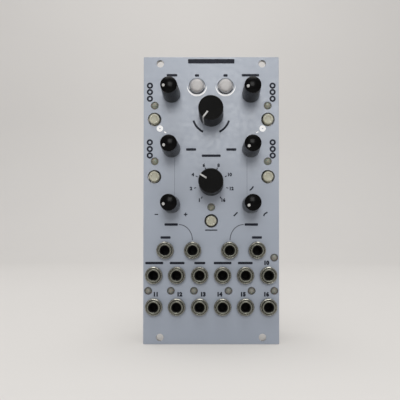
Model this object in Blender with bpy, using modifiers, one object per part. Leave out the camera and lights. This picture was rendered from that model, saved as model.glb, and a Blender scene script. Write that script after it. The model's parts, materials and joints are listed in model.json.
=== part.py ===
"""Eurorack module: aluminium front panel, knobs, buttons, lamps, jacks and two stacked boards.

Metres, +Z up. X runs across the panel and the panel faces -Y. The world's origin lies on the
panel's rear face, midway between the two lower screw holes.

Every piece is modelled as it is seen from the front: its own X runs across, its own Y up and its
own Z out of the panel. An empty turns the whole module upright.
"""

import math

import bmesh
import bpy

# Front panel
PANEL_WIDTH = 0.0606
PANEL_HEIGHT = 0.1285
PANEL_THICKNESS = 0.002
PANEL_CORNER = 0.0004
PANEL_EDGE = 0.00015
SCREW_HOLE_DIAMETER = 0.0033
SCREW_HOLE_SPACING = 0.04572
SCREW_LINE_INSET = 0.003
RAIL_SEAT_HEIGHT = 0.009

# Clearances and helper sizes
SEAT_GAP = 0.0003
RUNNING_GAP = 0.00015
LAMP_HOLE_GAP = 0.0002
CUT_OVERRUN = 0.001
JOIN_DEPTH = 0.0004

# Boards, from the panel's rear face backwards
BOARD_STANDOFF = 0.010
BOARD_THICKNESS = 0.0016
BOARD_SPACING = 0.011
BOARD_SIDE_INSET = 0.0003
BOARD_BOTTOM_INSET = 0.0103
BOARD_TOP_INSET = 0.0097
BOARD_CORNER = 0.001

# Slim knobs and their potentiometers
SLIM_KNOB_HEIGHT = 0.0124
SLIM_KNOB_TOP_DIAMETER = 0.0071
SLIM_KNOB_BASE_DIAMETER = 0.0079
SLIM_KNOB_EDGE = 0.0003
SLIM_KNOB_RIM = 0.0006
SLIM_KNOB_DISH = 0.00025
SLIM_KNOB_FOOT_GAP = 0.0004
SLIM_SHAFT_DIAMETER = 0.004
DOT_DIAMETER = 0.0014
DOT_DEPTH = 0.0003
DOT_RADIUS = 0.0022

# Large knobs and their potentiometers
LARGE_KNOB_HEIGHT = 0.011
LARGE_KNOB_TOP_DIAMETER = 0.01065
LARGE_KNOB_BASE_DIAMETER = 0.01085
LARGE_KNOB_EDGE = 0.0004
LARGE_KNOB_FOOT_GAP = 0.0005
LARGE_SHAFT_DIAMETER = 0.006
BUSHING_WALL = 0.0005
BUSHING_PROUD = 0.0013
KNOB_RECESS_GAP = 0.0005
POINTER_WIDTH = 0.0009
POINTER_DEPTH = 0.0003
POINTER_INNER_RADIUS = 0.0019

# Potentiometer bodies
POT_WIDTH = 0.0092
POT_HEIGHT = 0.0108
POT_DEPTH = 0.0064
COLLAR_WALL = 0.0013
SHAFT_END_WALL = 0.0012

# Push buttons and the switches under them
SMALL_CAP_DIAMETER = 0.0046
SMALL_CAP_PROUD = 0.0009
SMALL_CAP_HOLE_GAP = 0.0007
LARGE_CAP_DIAMETER = 0.0066
LARGE_CAP_PROUD = 0.0015
LARGE_CAP_HOLE_GAP = 0.0003
CAP_EDGE = 0.0004
CAP_SKIRT_DEPTH = 0.0014
PLUNGER_DIAMETER = 0.0032
PLUNGER_ENTRY = 0.0005
BUTTON_TRAVEL = 0.0003
SWITCH_SIDE = 0.006
SWITCH_HEIGHT = 0.0035

# Indicator lamps
LAMP_DIAMETER = 0.0031
LAMP_LENGTH = 0.005
LAMP_PROUD = 0.0005
LAMP_POT_GAP = 0.00145
LAMP_JACK_GAP = 0.0003
SINGLE_LAMP_JACK_GAP = 0.0011
LAMP_BUTTON_GAP = 0.00165
LOWER_LAMP_BUTTON_GAP = 0.00235
LEAD_WIDTH = 0.0005
LEAD_PITCH = 0.0014

# Jacks
JACKS_ACROSS = 6
JACK_EDGE_ROOM = 0.0049
JACK_SIDE_GAP = 0.00116
JACK_ROW_GAP = 0.0008
JACK_BODY_HEIGHT = 0.0103
JACK_END_WALL = 0.0022
JACK_BUSHING_DIAMETER = 0.0059
JACK_BUSHING_PROUD = 0.0030
JACK_BORE_DIAMETER = 0.0036
JACK_MOUTH_DIAMETER = 0.0043
NUT_DIAMETER = 0.0078
NUT_THICKNESS = 0.0020
NUT_EDGE = 0.0003

# Board connectors, spacers, power header and chips
CONNECTOR_PINS = 8
CONNECTOR_WIDTH = 0.005
CONNECTOR_BASE_HEIGHT = 0.0025
CONNECTOR_NECK = 0.0003
PIN_PITCH = 0.00254
PIN_WIDTH = 0.00064
SPACER_DIAMETER = 0.0055
SPACER_SCREW_DIAMETER = 0.003
SCREW_HEAD_DIAMETER = 0.0056
SCREW_HEAD_HEIGHT = 0.0018
SCREW_HEAD_EDGE = 0.0005
HEADER_PINS_ACROSS = 5
HEADER_END_ROOM = 0.0038
HEADER_DEPTH = 0.0089
HEADER_HEIGHT = 0.0088
HEADER_WALL = 0.0011
HEADER_FLOOR = 0.0024
HEADER_KEY_WIDTH = 0.0045
HEADER_PIN_TIP_INSET = 0.0016
PROCESSOR_SIDE = 0.010
PROCESSOR_THICKNESS = 0.0012
PROCESSOR_LEAD_REACH = 0.0008
PROCESSOR_LEAD_THICKNESS = 0.0004
CHIP_LENGTH = 0.0052
CHIP_WIDTH = 0.0040
CHIP_THICKNESS = 0.0016
CAPACITOR_DIAMETER = 0.0063
CAPACITOR_HEIGHT = 0.0054

# How far across from the middle things sit, as shares of the panel's width
SLIM_KNOB_COLUMN_SHARE = 0.2921
SIDE_BUTTON_COLUMN_SHARE = 0.4191
LARGE_BUTTON_COLUMN_SHARE = 0.1056
OUTPUT_LAMP_INNER_SHARE = 0.1271
OUTPUT_LAMP_MIDDLE_SHARE = 0.2970
OUTPUT_LAMP_OUTER_SHARE = 0.4637
JACK_UPPER_INNER_SHARE = 0.1353
JACK_UPPER_OUTER_SHARE = 0.3366
CONNECTOR_COLUMN_SHARE = 0.3795

# Heights of two rows above the panel's lower edge, as shares of the panel's height
JACK_LOWER_ROW_SHARE = 0.1300
CONNECTOR_ROW_SHARE = 0.4981

# Steps up from one row to the next, as shares of the room that the board has above the jacks
SLIM_LOWER_STEP_SHARE = 0.2123
SLIM_MIDDLE_STEP_SHARE = 0.3466
SLIM_TOP_STEP_SHARE = 0.3410
SIDE_BUTTON_LOWER_STEP_SHARE = 0.1739
SIDE_BUTTON_UPPER_STEP_SHARE = 0.1850
CENTRE_BUTTON_STEP_SHARE = 0.1106
LARGE_KNOB_LOWER_STEP_SHARE = 0.1434
LARGE_KNOB_UPPER_STEP_SHARE = 0.4301
LARGE_BUTTON_STEP_SHARE = 0.1823
HEADER_STEP_SHARE = 0.2109

# Places of the smaller chips and capacitors, as shares of the board's width and height
# from its middle
CHIP_PLACE_SHARES = ((-0.28, -0.12), (0.28, -0.12), (-0.28, -0.27), (0.28, -0.27), (0.0, -0.33))
CAPACITOR_PLACE_SHARES = ((-0.33, 0.27), (0.33, 0.27))

# Directions of the marks on the knobs at rest, in degrees clockwise from straight up
SLIM_KNOB_TURNS = {
    "top_left": -102,
    "top_right": -112,
    "middle_left": -117,
    "middle_right": -130,
    "lower_left": -109,
    "lower_right": -126,
}
LARGE_KNOB_TURNS = {"upper": -142, "lower": -59}

# Facets round each kind of turned piece
SLIM_KNOB_SIDES = 20
LARGE_KNOB_SIDES = 32
POT_SIDES = 12
SMALL_CAP_SIDES = 16
LARGE_CAP_SIDES = 20
PLUNGER_SIDES = 12
LAMP_SIDES = 12
LAMP_DOME_STEPS = 2
JACK_SIDES = 14
JACK_HOLE_SIDES = 12
SCREW_HOLE_SIDES = 16
SPACER_SIDES = 12
CAPACITOR_SIDES = 12
DOT_SIDES = 10
CORNER_STEPS = 2
MERGE_DISTANCE = 0.000001

# Levels along each piece's own Z. The panel's rear face is zero
PANEL_FRONT = PANEL_THICKNESS
CONTROL_BOARD_FRONT = -BOARD_STANDOFF
CONTROL_BOARD_REAR = CONTROL_BOARD_FRONT - BOARD_THICKNESS
MAIN_BOARD_FRONT = CONTROL_BOARD_REAR - BOARD_SPACING
MAIN_BOARD_REAR = MAIN_BOARD_FRONT - BOARD_THICKNESS
SWITCH_FRONT = CONTROL_BOARD_FRONT + SWITCH_HEIGHT
UPPER_SCREW_ROW = PANEL_HEIGHT - SCREW_LINE_INSET

# The boards follow the panel, and the jacks share its width
BOARD_WIDTH = PANEL_WIDTH - 2 * BOARD_SIDE_INSET
BOARD_HEIGHT = PANEL_HEIGHT - BOARD_BOTTOM_INSET - BOARD_TOP_INSET
BOARD_MIDDLE = BOARD_BOTTOM_INSET + BOARD_HEIGHT / 2
JACK_PITCH = (PANEL_WIDTH - 2 * JACK_EDGE_ROOM) / (JACKS_ACROSS - 1)
JACK_BODY_WIDTH = JACK_PITCH - JACK_SIDE_GAP

# Columns, from the middle outwards
SLIM_KNOB_COLUMN = PANEL_WIDTH * SLIM_KNOB_COLUMN_SHARE
SIDE_BUTTON_COLUMN = PANEL_WIDTH * SIDE_BUTTON_COLUMN_SHARE
SIDE_LAMP_COLUMN = SLIM_KNOB_COLUMN + POT_WIDTH / 2 + LAMP_POT_GAP + LAMP_DIAMETER / 2
LARGE_BUTTON_COLUMN = PANEL_WIDTH * LARGE_BUTTON_COLUMN_SHARE
OUTPUT_LAMP_INNER = PANEL_WIDTH * OUTPUT_LAMP_INNER_SHARE
OUTPUT_LAMP_MIDDLE = PANEL_WIDTH * OUTPUT_LAMP_MIDDLE_SHARE
OUTPUT_LAMP_OUTER = PANEL_WIDTH * OUTPUT_LAMP_OUTER_SHARE
JACK_UPPER_INNER = PANEL_WIDTH * JACK_UPPER_INNER_SHARE
JACK_UPPER_OUTER = PANEL_WIDTH * JACK_UPPER_OUTER_SHARE
CONNECTOR_COLUMN = PANEL_WIDTH * CONNECTOR_COLUMN_SHARE

# Rows of jacks and of the lamps between them, from the bottom up
JACK_LOWER_ROW = PANEL_HEIGHT * JACK_LOWER_ROW_SHARE
OUTPUT_LAMP_ROW = JACK_LOWER_ROW + JACK_BODY_HEIGHT / 2 + LAMP_JACK_GAP + LAMP_DIAMETER / 2
JACK_MIDDLE_ROW = OUTPUT_LAMP_ROW + LAMP_DIAMETER / 2 + LAMP_JACK_GAP + JACK_BODY_HEIGHT / 2
SINGLE_LAMP_ROW = JACK_MIDDLE_ROW + JACK_BODY_HEIGHT / 2 + SINGLE_LAMP_JACK_GAP + LAMP_DIAMETER / 2
JACK_UPPER_ROW = JACK_MIDDLE_ROW + JACK_BODY_HEIGHT + JACK_ROW_GAP

# Room for the controls, between the jacks and the upper edge of the boards
JACK_UPPER_TOP = JACK_UPPER_ROW + JACK_BODY_HEIGHT / 2
CONTROL_ROOM = PANEL_HEIGHT - BOARD_TOP_INSET - JACK_UPPER_TOP

# Radius of a button's hole and of a lamp together
LAMP_BUTTON_REACH = SMALL_CAP_DIAMETER / 2 + SMALL_CAP_HOLE_GAP + LAMP_DIAMETER / 2

# Rows of the two side columns, from the jacks up
SLIM_LOWER_ROW = JACK_UPPER_TOP + CONTROL_ROOM * SLIM_LOWER_STEP_SHARE
SLIM_MIDDLE_ROW = SLIM_LOWER_ROW + CONTROL_ROOM * SLIM_MIDDLE_STEP_SHARE
SLIM_TOP_ROW = SLIM_MIDDLE_ROW + CONTROL_ROOM * SLIM_TOP_STEP_SHARE
SIDE_BUTTON_LOWER_ROW = SLIM_LOWER_ROW + CONTROL_ROOM * SIDE_BUTTON_LOWER_STEP_SHARE
SIDE_LAMP_LOWER_ROW = SIDE_BUTTON_LOWER_ROW + LAMP_BUTTON_REACH + LOWER_LAMP_BUTTON_GAP
SIDE_BUTTON_UPPER_ROW = SLIM_MIDDLE_ROW + CONTROL_ROOM * SIDE_BUTTON_UPPER_STEP_SHARE
SIDE_LAMP_UPPER_ROW = SIDE_BUTTON_UPPER_ROW + LAMP_BUTTON_REACH + LAMP_BUTTON_GAP

# Rows of the middle column, from the jacks up
CENTRE_BUTTON_ROW = JACK_UPPER_TOP + CONTROL_ROOM * CENTRE_BUTTON_STEP_SHARE
CENTRE_LAMP_ROW = CENTRE_BUTTON_ROW + LAMP_BUTTON_REACH + LAMP_BUTTON_GAP
LARGE_KNOB_LOWER_ROW = CENTRE_LAMP_ROW + CONTROL_ROOM * LARGE_KNOB_LOWER_STEP_SHARE
LARGE_KNOB_UPPER_ROW = LARGE_KNOB_LOWER_ROW + CONTROL_ROOM * LARGE_KNOB_UPPER_STEP_SHARE
LARGE_BUTTON_ROW = LARGE_KNOB_UPPER_ROW + CONTROL_ROOM * LARGE_BUTTON_STEP_SHARE

# Rows on the boards. Each spacer stands midway between the pieces above and below it
JACK_MIDDLE_TOP = JACK_MIDDLE_ROW + JACK_BODY_HEIGHT / 2
CENTRE_SWITCH_BOTTOM = CENTRE_BUTTON_ROW - SWITCH_SIDE / 2
SPACER_LOWER_ROW = (JACK_MIDDLE_TOP + CENTRE_SWITCH_BOTTOM) / 2
SPACER_UPPER_ROW = (LARGE_KNOB_LOWER_ROW + LARGE_KNOB_UPPER_ROW) / 2
PROCESSOR_ROW = (SPACER_LOWER_ROW + SPACER_UPPER_ROW) / 2
HEADER_ROW = SPACER_UPPER_ROW + CONTROL_ROOM * HEADER_STEP_SHARE
CONNECTOR_ROW = PANEL_HEIGHT * CONNECTOR_ROW_SHARE


def pair(column, row):
    """Places of a left and a right piece, as far across from the middle on either side."""
    return (-column, row), (column, row)


def sided(name, column, row):
    """The names of a left and a right piece, each with its place."""
    return dict(zip((name + "_left", name + "_right"), pair(column, row)))


SLIM_KNOB_PLACES = {
    **sided("top", SLIM_KNOB_COLUMN, SLIM_TOP_ROW),
    **sided("middle", SLIM_KNOB_COLUMN, SLIM_MIDDLE_ROW),
    **sided("lower", SLIM_KNOB_COLUMN, SLIM_LOWER_ROW),
}
LARGE_KNOB_PLACES = {"upper": (0, LARGE_KNOB_UPPER_ROW), "lower": (0, LARGE_KNOB_LOWER_ROW)}
SMALL_BUTTON_PLACES = {
    **sided("side_button_upper", SIDE_BUTTON_COLUMN, SIDE_BUTTON_UPPER_ROW),
    **sided("side_button_lower", SIDE_BUTTON_COLUMN, SIDE_BUTTON_LOWER_ROW),
    "centre_button": (0, CENTRE_BUTTON_ROW),
}
LARGE_BUTTON_PLACES = sided("large_button", LARGE_BUTTON_COLUMN, LARGE_BUTTON_ROW)
OUTPUT_LAMP_COLUMNS = (
    -OUTPUT_LAMP_OUTER,
    -OUTPUT_LAMP_MIDDLE,
    -OUTPUT_LAMP_INNER,
    OUTPUT_LAMP_INNER,
    OUTPUT_LAMP_MIDDLE,
    OUTPUT_LAMP_OUTER,
)
LAMP_PLACES = {
    **sided("lamp_upper", SIDE_LAMP_COLUMN, SIDE_LAMP_UPPER_ROW),
    **sided("lamp_lower", SIDE_LAMP_COLUMN, SIDE_LAMP_LOWER_ROW),
    "lamp_centre": (0, CENTRE_LAMP_ROW),
    **{
        f"lamp_output_{number}": (column, OUTPUT_LAMP_ROW)
        for number, column in enumerate(OUTPUT_LAMP_COLUMNS, start=1)
    },
    "lamp_side": (OUTPUT_LAMP_OUTER, SINGLE_LAMP_ROW),
}
SCREW_PLACES = [
    place
    for row in (SCREW_LINE_INSET, UPPER_SCREW_ROW)
    for place in pair(SCREW_HOLE_SPACING / 2, row)
]
SPACER_PLACES = {"upper": (0, SPACER_UPPER_ROW), "lower": (0, SPACER_LOWER_ROW)}


def jack_places():
    """Name and place of each jack: four in the upper row, and the full count in each row below."""
    upper = (-JACK_UPPER_OUTER, -JACK_UPPER_INNER, JACK_UPPER_INNER, JACK_UPPER_OUTER)
    middle = (JACKS_ACROSS - 1) / 2
    regular = [JACK_PITCH * (column - middle) for column in range(JACKS_ACROSS)]
    rows = {
        "upper": (upper, JACK_UPPER_ROW),
        "middle": (regular, JACK_MIDDLE_ROW),
        "lower": (regular, JACK_LOWER_ROW),
    }
    places = {}
    for row_name, (columns, row) in rows.items():
        for number, column in enumerate(columns, start=1):
            places[f"jack_{row_name}_{number}"] = (column, row)
    return places


def clear_scene():
    """Empty the file that the script runs in."""
    for obj in list(bpy.data.objects):
        bpy.data.objects.remove(obj)
    for collection in list(bpy.data.collections):
        bpy.data.collections.remove(collection)


def new_collection(name):
    """A collection linked to the scene."""
    collection = bpy.data.collections.new(name)
    bpy.context.scene.collection.children.link(collection)
    return collection


def finish(name, colour, roughness, metallic=0.0):
    """A material with one Principled shader."""
    material = bpy.data.materials.new(name)
    material.use_nodes = True
    shader = material.node_tree.nodes["Principled BSDF"]
    shader.inputs["Base Color"].default_value = (*colour, 1.0)
    shader.inputs["Roughness"].default_value = roughness
    shader.inputs["Metallic"].default_value = metallic
    material.diffuse_color = (*colour, 1.0)
    return material


def around(radius, sides):
    """Corner radius of a polygon whose flats lie at this radius, so that a round piece clears them."""
    return radius / math.cos(math.pi / sides)


def mesh_from(bm, name):
    """Turn a bmesh into a mesh and free it."""
    mesh = bpy.data.meshes.new(name)
    bm.to_mesh(mesh)
    bm.free()
    return mesh


def add_box(bm, low, high):
    """Add a box between two corners."""
    made = bmesh.ops.create_cube(bm, size=1.0)["verts"]
    size = [top - bottom for bottom, top in zip(low, high)]
    middle = [(top + bottom) / 2 for bottom, top in zip(low, high)]
    bmesh.ops.scale(bm, verts=made, vec=size)
    bmesh.ops.translate(bm, verts=made, vec=middle)
    return made


def add_rod(bm, radius, low, high, sides, place=(0, 0)):
    """Add a round rod along Z between two levels."""
    made = bmesh.ops.create_cone(
        bm, cap_ends=True, segments=sides, radius1=radius, radius2=radius, depth=high - low
    )["verts"]
    bmesh.ops.translate(bm, verts=made, vec=(*place, (low + high) / 2))
    return made


def plate_mesh(name, width, height, rear, front, corner):
    """A flat plate centred across and up, with its four corners rounded."""
    bm = bmesh.new()
    add_box(bm, (-width / 2, -height / 2, rear), (width / 2, height / 2, front))
    upright = [edge for edge in bm.edges if abs(edge.verts[0].co.z - edge.verts[1].co.z) > corner]
    bmesh.ops.bevel(
        bm, geom=upright, offset=corner, segments=CORNER_STEPS, profile=0.5, affect="EDGES"
    )
    return mesh_from(bm, name)


def scored(mesh, levels):
    """Divide a mesh's faces along level lines across it, without changing its shape."""
    bm = bmesh.new()
    bm.from_mesh(mesh)
    for level in levels:
        everything = bm.verts[:] + bm.edges[:] + bm.faces[:]
        bmesh.ops.bisect_plane(
            bm, geom=everything, dist=MERGE_DISTANCE, plane_co=(0, level, 0), plane_no=(0, 1, 0)
        )
    bm.to_mesh(mesh)
    bm.free()
    return mesh


def turned_mesh(name, outline, sides):
    """Turn an outline of (radius, level) points about Z. It runs down the outer side."""
    bm = bmesh.new()
    points = [bm.verts.new((radius, 0, level)) for radius, level in outline]
    for start, end in zip(points, points[1:]):
        bm.edges.new((start, end))
    blank = bpy.data.objects.new(name, mesh_from(bm, name))
    parts.objects.link(blank)
    screw = blank.modifiers.new("Turn", "SCREW")
    screw.axis = "Z"
    screw.steps = sides
    screw.render_steps = sides
    screw.use_merge_vertices = True
    screw.merge_threshold = MERGE_DISTANCE
    return settled_mesh(blank)


def settled_mesh(obj):
    """The object's mesh with its modifiers applied. The object is removed."""
    graph = bpy.context.evaluated_depsgraph_get()
    mesh = bpy.data.meshes.new_from_object(obj.evaluated_get(graph))
    mesh.name = obj.name
    bpy.data.objects.remove(obj)
    return mesh


def combine(obj, tool, operation):
    """Give an object a Boolean with a tool object."""
    boolean = obj.modifiers.new(tool.name, "BOOLEAN")
    boolean.operation = operation
    boolean.object = tool


def tool_object(mesh):
    """An object that only cuts or joins: drawn as wire and left out of renders."""
    tool = bpy.data.objects.new(mesh.name, mesh)
    tool.hide_render = True
    tool.display_type = "WIRE"
    cutters.objects.link(tool)
    return tool


def shaped_mesh(mesh, steps):
    """Join or cut a mesh with a list of (operation, tool mesh) and return the result."""
    blank = bpy.data.objects.new(mesh.name, mesh)
    parts.objects.link(blank)
    tools = []
    for operation, tool_mesh in steps:
        tool = tool_object(tool_mesh)
        combine(blank, tool, operation)
        tools.append(tool)
    shaped = settled_mesh(blank)
    for tool in tools:
        bpy.data.objects.remove(tool)
    return shaped


def place_piece(name, mesh, place, level=0.0, turn=0.0):
    """Put one named piece in the module. Turn is in degrees clockwise, seen from the front."""
    piece = bpy.data.objects.new(name, mesh)
    piece.parent = module
    piece.location = (*place, level)
    piece.rotation_euler = (0, 0, -math.radians(turn))
    parts.objects.link(piece)
    return piece


def smooth(mesh):
    """Shade the round faces of a mesh smooth and keep its corners sharp."""
    mesh.shade_smooth()
    mesh.set_sharp_from_angle(angle=math.radians(35))


def rods_mesh(name, rods):
    """One mesh of separate rods, each given as (place, radius, low, high, sides)."""
    bm = bmesh.new()
    for place, radius, low, high, sides in rods:
        add_rod(bm, radius, low, high, sides, place)
    return mesh_from(bm, name)


def boxes_mesh(name, boxes):
    """One mesh of separate boxes, each given as (place, width, height, low, high)."""
    bm = bmesh.new()
    for (across, up), width, height, low, high in boxes:
        add_box(
            bm,
            (across - width / 2, up - height / 2, low),
            (across + width / 2, up + height / 2, high),
        )
    return mesh_from(bm, name)


def panel_holes():
    """Every hole in the panel as (place, radius to the flats, sides)."""
    holes = [(place, SCREW_HOLE_DIAMETER / 2, SCREW_HOLE_SIDES) for place in SCREW_PLACES]
    slim = SLIM_SHAFT_DIAMETER / 2 + SEAT_GAP
    holes += [(place, slim, POT_SIDES) for place in SLIM_KNOB_PLACES.values()]
    bushing = bushing_radius() + SEAT_GAP
    holes += [(place, bushing, POT_SIDES) for place in LARGE_KNOB_PLACES.values()]
    small_cap = SMALL_CAP_DIAMETER / 2 + SMALL_CAP_HOLE_GAP
    holes += [(place, small_cap, SMALL_CAP_SIDES) for place in SMALL_BUTTON_PLACES.values()]
    large_cap = LARGE_CAP_DIAMETER / 2 + LARGE_CAP_HOLE_GAP
    holes += [(place, large_cap, LARGE_CAP_SIDES) for place in LARGE_BUTTON_PLACES.values()]
    lamp = LAMP_DIAMETER / 2 + LAMP_HOLE_GAP
    holes += [(place, lamp, LAMP_SIDES) for place in LAMP_PLACES.values()]
    jack = JACK_BUSHING_DIAMETER / 2 + SEAT_GAP
    holes += [(place, jack, JACK_HOLE_SIDES) for place in jack_places().values()]
    return holes


def make_front_panel():
    """The plate that everything shows through, drilled for each control, lamp and jack.

    The strips at its ends, which seat on the rack's rails, are faces of their own.
    """
    middle = (0, PANEL_HEIGHT / 2)
    mesh = plate_mesh("front_panel", PANEL_WIDTH, PANEL_HEIGHT, 0, PANEL_FRONT, PANEL_CORNER)
    seat_line = PANEL_HEIGHT / 2 - RAIL_SEAT_HEIGHT
    scored(mesh, (-seat_line, seat_line))
    mesh.materials.append(finish("panel_lacquer", (0.40, 0.43, 0.50), 0.45))
    panel = place_piece("front_panel", mesh, middle)
    edge = panel.modifiers.new("Broken edge", "BEVEL")
    edge.width = PANEL_EDGE
    edge.segments = 1
    edge.limit_method = "ANGLE"
    edge.angle_limit = math.radians(60)
    drills = [
        (place, around(radius, sides), -CUT_OVERRUN, PANEL_FRONT + CUT_OVERRUN, sides)
        for place, radius, sides in panel_holes()
    ]
    drilling = tool_object(rods_mesh("panel_drilling", drills))
    drilling.parent = module
    combine(panel, drilling, "DIFFERENCE")


def slim_knob_mesh():
    """Slim tapered knob with a dished top, a dot recess and its shaft."""
    top_radius = SLIM_KNOB_TOP_DIAMETER / 2
    base_radius = SLIM_KNOB_BASE_DIAMETER / 2
    shaft_radius = SLIM_SHAFT_DIAMETER / 2
    dish_radius = top_radius - SLIM_KNOB_RIM
    outline = [
        (0, SLIM_KNOB_HEIGHT - SLIM_KNOB_DISH),
        (dish_radius, SLIM_KNOB_HEIGHT - SLIM_KNOB_DISH),
        (dish_radius + SLIM_KNOB_DISH, SLIM_KNOB_HEIGHT),
        (top_radius - SLIM_KNOB_EDGE, SLIM_KNOB_HEIGHT),
        (top_radius, SLIM_KNOB_HEIGHT - SLIM_KNOB_EDGE),
        (base_radius, SLIM_KNOB_FOOT_GAP),
        (shaft_radius, SLIM_KNOB_FOOT_GAP),
        (shaft_radius, shaft_end()),
        (0, shaft_end()),
    ]
    knob = turned_mesh("slim_knob", outline, SLIM_KNOB_SIDES)
    dot = rods_mesh("slim_knob_dot", [(
        (0, DOT_RADIUS),
        DOT_DIAMETER / 2,
        SLIM_KNOB_HEIGHT - SLIM_KNOB_DISH - DOT_DEPTH,
        SLIM_KNOB_HEIGHT + CUT_OVERRUN,
        DOT_SIDES,
    )])
    mesh = shaped_mesh(knob, [("DIFFERENCE", dot)])
    mesh.materials.append(finish("slim_knob_plastic", (0.012, 0.012, 0.013), 0.25))
    smooth(mesh)
    return mesh


def large_knob_mesh():
    """Large knob: hollow underneath to clear the bushing, with a groove for its pointer line."""
    top_radius = LARGE_KNOB_TOP_DIAMETER / 2
    base_radius = LARGE_KNOB_BASE_DIAMETER / 2
    shaft_radius = LARGE_SHAFT_DIAMETER / 2
    recess_radius = bushing_radius() + KNOB_RECESS_GAP
    recess_top = BUSHING_PROUD + KNOB_RECESS_GAP
    outline = [
        (0, LARGE_KNOB_HEIGHT),
        (top_radius - LARGE_KNOB_EDGE, LARGE_KNOB_HEIGHT),
        (top_radius, LARGE_KNOB_HEIGHT - LARGE_KNOB_EDGE),
        (base_radius, LARGE_KNOB_FOOT_GAP + LARGE_KNOB_EDGE),
        (base_radius - LARGE_KNOB_EDGE, LARGE_KNOB_FOOT_GAP),
        (recess_radius, LARGE_KNOB_FOOT_GAP),
        (recess_radius, recess_top),
        (shaft_radius, recess_top),
        (shaft_radius, shaft_end()),
        (0, shaft_end()),
    ]
    knob = turned_mesh("large_knob", outline, LARGE_KNOB_SIDES)
    outer = base_radius + CUT_OVERRUN
    above = LARGE_KNOB_HEIGHT + CUT_OVERRUN
    top_groove = boxes_mesh("pointer_top", [(
        (0, (POINTER_INNER_RADIUS + outer) / 2),
        POINTER_WIDTH,
        outer - POINTER_INNER_RADIUS,
        LARGE_KNOB_HEIGHT - POINTER_DEPTH,
        above,
    )])
    side_inner = top_radius - POINTER_DEPTH
    side_groove = boxes_mesh("pointer_side", [(
        (0, (side_inner + outer) / 2),
        POINTER_WIDTH,
        outer - side_inner,
        LARGE_KNOB_FOOT_GAP + LARGE_KNOB_EDGE + POINTER_DEPTH,
        above,
    )])
    mesh = shaped_mesh(knob, [("DIFFERENCE", top_groove), ("DIFFERENCE", side_groove)])
    mesh.materials.append(finish("large_knob_plastic", (0.014, 0.014, 0.015), 0.5))
    smooth(mesh)
    return mesh


def bushing_radius():
    """Outer radius of the threaded bushing round a large knob's shaft."""
    return LARGE_SHAFT_DIAMETER / 2 + RUNNING_GAP + BUSHING_WALL


def shaft_end():
    """Level of a shaft's inner end, from the panel's front face."""
    return CONTROL_BOARD_FRONT + SEAT_GAP + SHAFT_END_WALL + SEAT_GAP - PANEL_FRONT


def pot_mesh(name, shaft_diameter, collar_radius, collar_top):
    """Potentiometer: a square body on the board, a round collar and a blind hole for the shaft."""
    rear = CONTROL_BOARD_FRONT + SEAT_GAP
    front = rear + POT_DEPTH
    body = boxes_mesh(name, [((0, 0), POT_WIDTH, POT_HEIGHT, rear, front)])
    collar = rods_mesh(
        name + "_collar", [((0, 0), collar_radius, front - JOIN_DEPTH, collar_top, POT_SIDES)]
    )
    hole_radius = around(shaft_diameter / 2 + RUNNING_GAP, POT_SIDES)
    hole = rods_mesh(
        name + "_hole",
        [((0, 0), hole_radius, rear + SHAFT_END_WALL, collar_top + CUT_OVERRUN, POT_SIDES)],
    )
    mesh = shaped_mesh(body, [("UNION", collar), ("DIFFERENCE", hole)])
    mesh.materials.append(finish(name + "_housing", (0.06, 0.09, 0.16), 0.5))
    smooth(mesh)
    return mesh


def make_knobs():
    """All eight knobs, each turned to its rest position, and the potentiometers under them."""
    slim = slim_knob_mesh()
    slim_pot = pot_mesh(
        "slim_potentiometer",
        SLIM_SHAFT_DIAMETER,
        SLIM_SHAFT_DIAMETER / 2 + RUNNING_GAP + COLLAR_WALL,
        -SEAT_GAP,
    )
    for name, place in SLIM_KNOB_PLACES.items():
        place_piece("slim_knob_" + name, slim, place, PANEL_FRONT, SLIM_KNOB_TURNS[name])
        place_piece("potentiometer_" + name, slim_pot, place)
    large = large_knob_mesh()
    large_pot = pot_mesh(
        "large_potentiometer", LARGE_SHAFT_DIAMETER, bushing_radius(), PANEL_FRONT + BUSHING_PROUD
    )
    for name, place in LARGE_KNOB_PLACES.items():
        place_piece("large_knob_" + name, large, place, PANEL_FRONT, LARGE_KNOB_TURNS[name])
        place_piece("potentiometer_large_" + name, large_pot, place)


def button_mesh(name, diameter, proud, sides, colour, roughness):
    """Push button: a round cap through the panel and a thinner plunger into the switch."""
    radius = diameter / 2
    skirt_end = -PANEL_THICKNESS - CAP_SKIRT_DEPTH
    plunger_end = SWITCH_FRONT - PLUNGER_ENTRY - PANEL_FRONT
    plunger_radius = PLUNGER_DIAMETER / 2
    outline = [
        (0, proud),
        (radius - CAP_EDGE, proud),
        (radius, proud - CAP_EDGE),
        (radius, skirt_end),
        (plunger_radius, skirt_end),
        (plunger_radius, plunger_end),
        (0, plunger_end),
    ]
    mesh = turned_mesh(name, outline, sides)
    mesh.materials.append(finish(name + "_plastic", colour, roughness))
    smooth(mesh)
    return mesh


def make_buttons():
    """Five small and two large push buttons."""
    small = button_mesh(
        "small_button", SMALL_CAP_DIAMETER, SMALL_CAP_PROUD, SMALL_CAP_SIDES,
        (0.52, 0.50, 0.37), 0.4,
    )
    for name, place in SMALL_BUTTON_PLACES.items():
        place_piece(name, small, place, PANEL_FRONT)
    large = button_mesh(
        "large_button", LARGE_CAP_DIAMETER, LARGE_CAP_PROUD, LARGE_CAP_SIDES,
        (0.55, 0.55, 0.52), 0.3,
    )
    for name, place in LARGE_BUTTON_PLACES.items():
        place_piece(name, large, place, PANEL_FRONT)


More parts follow.
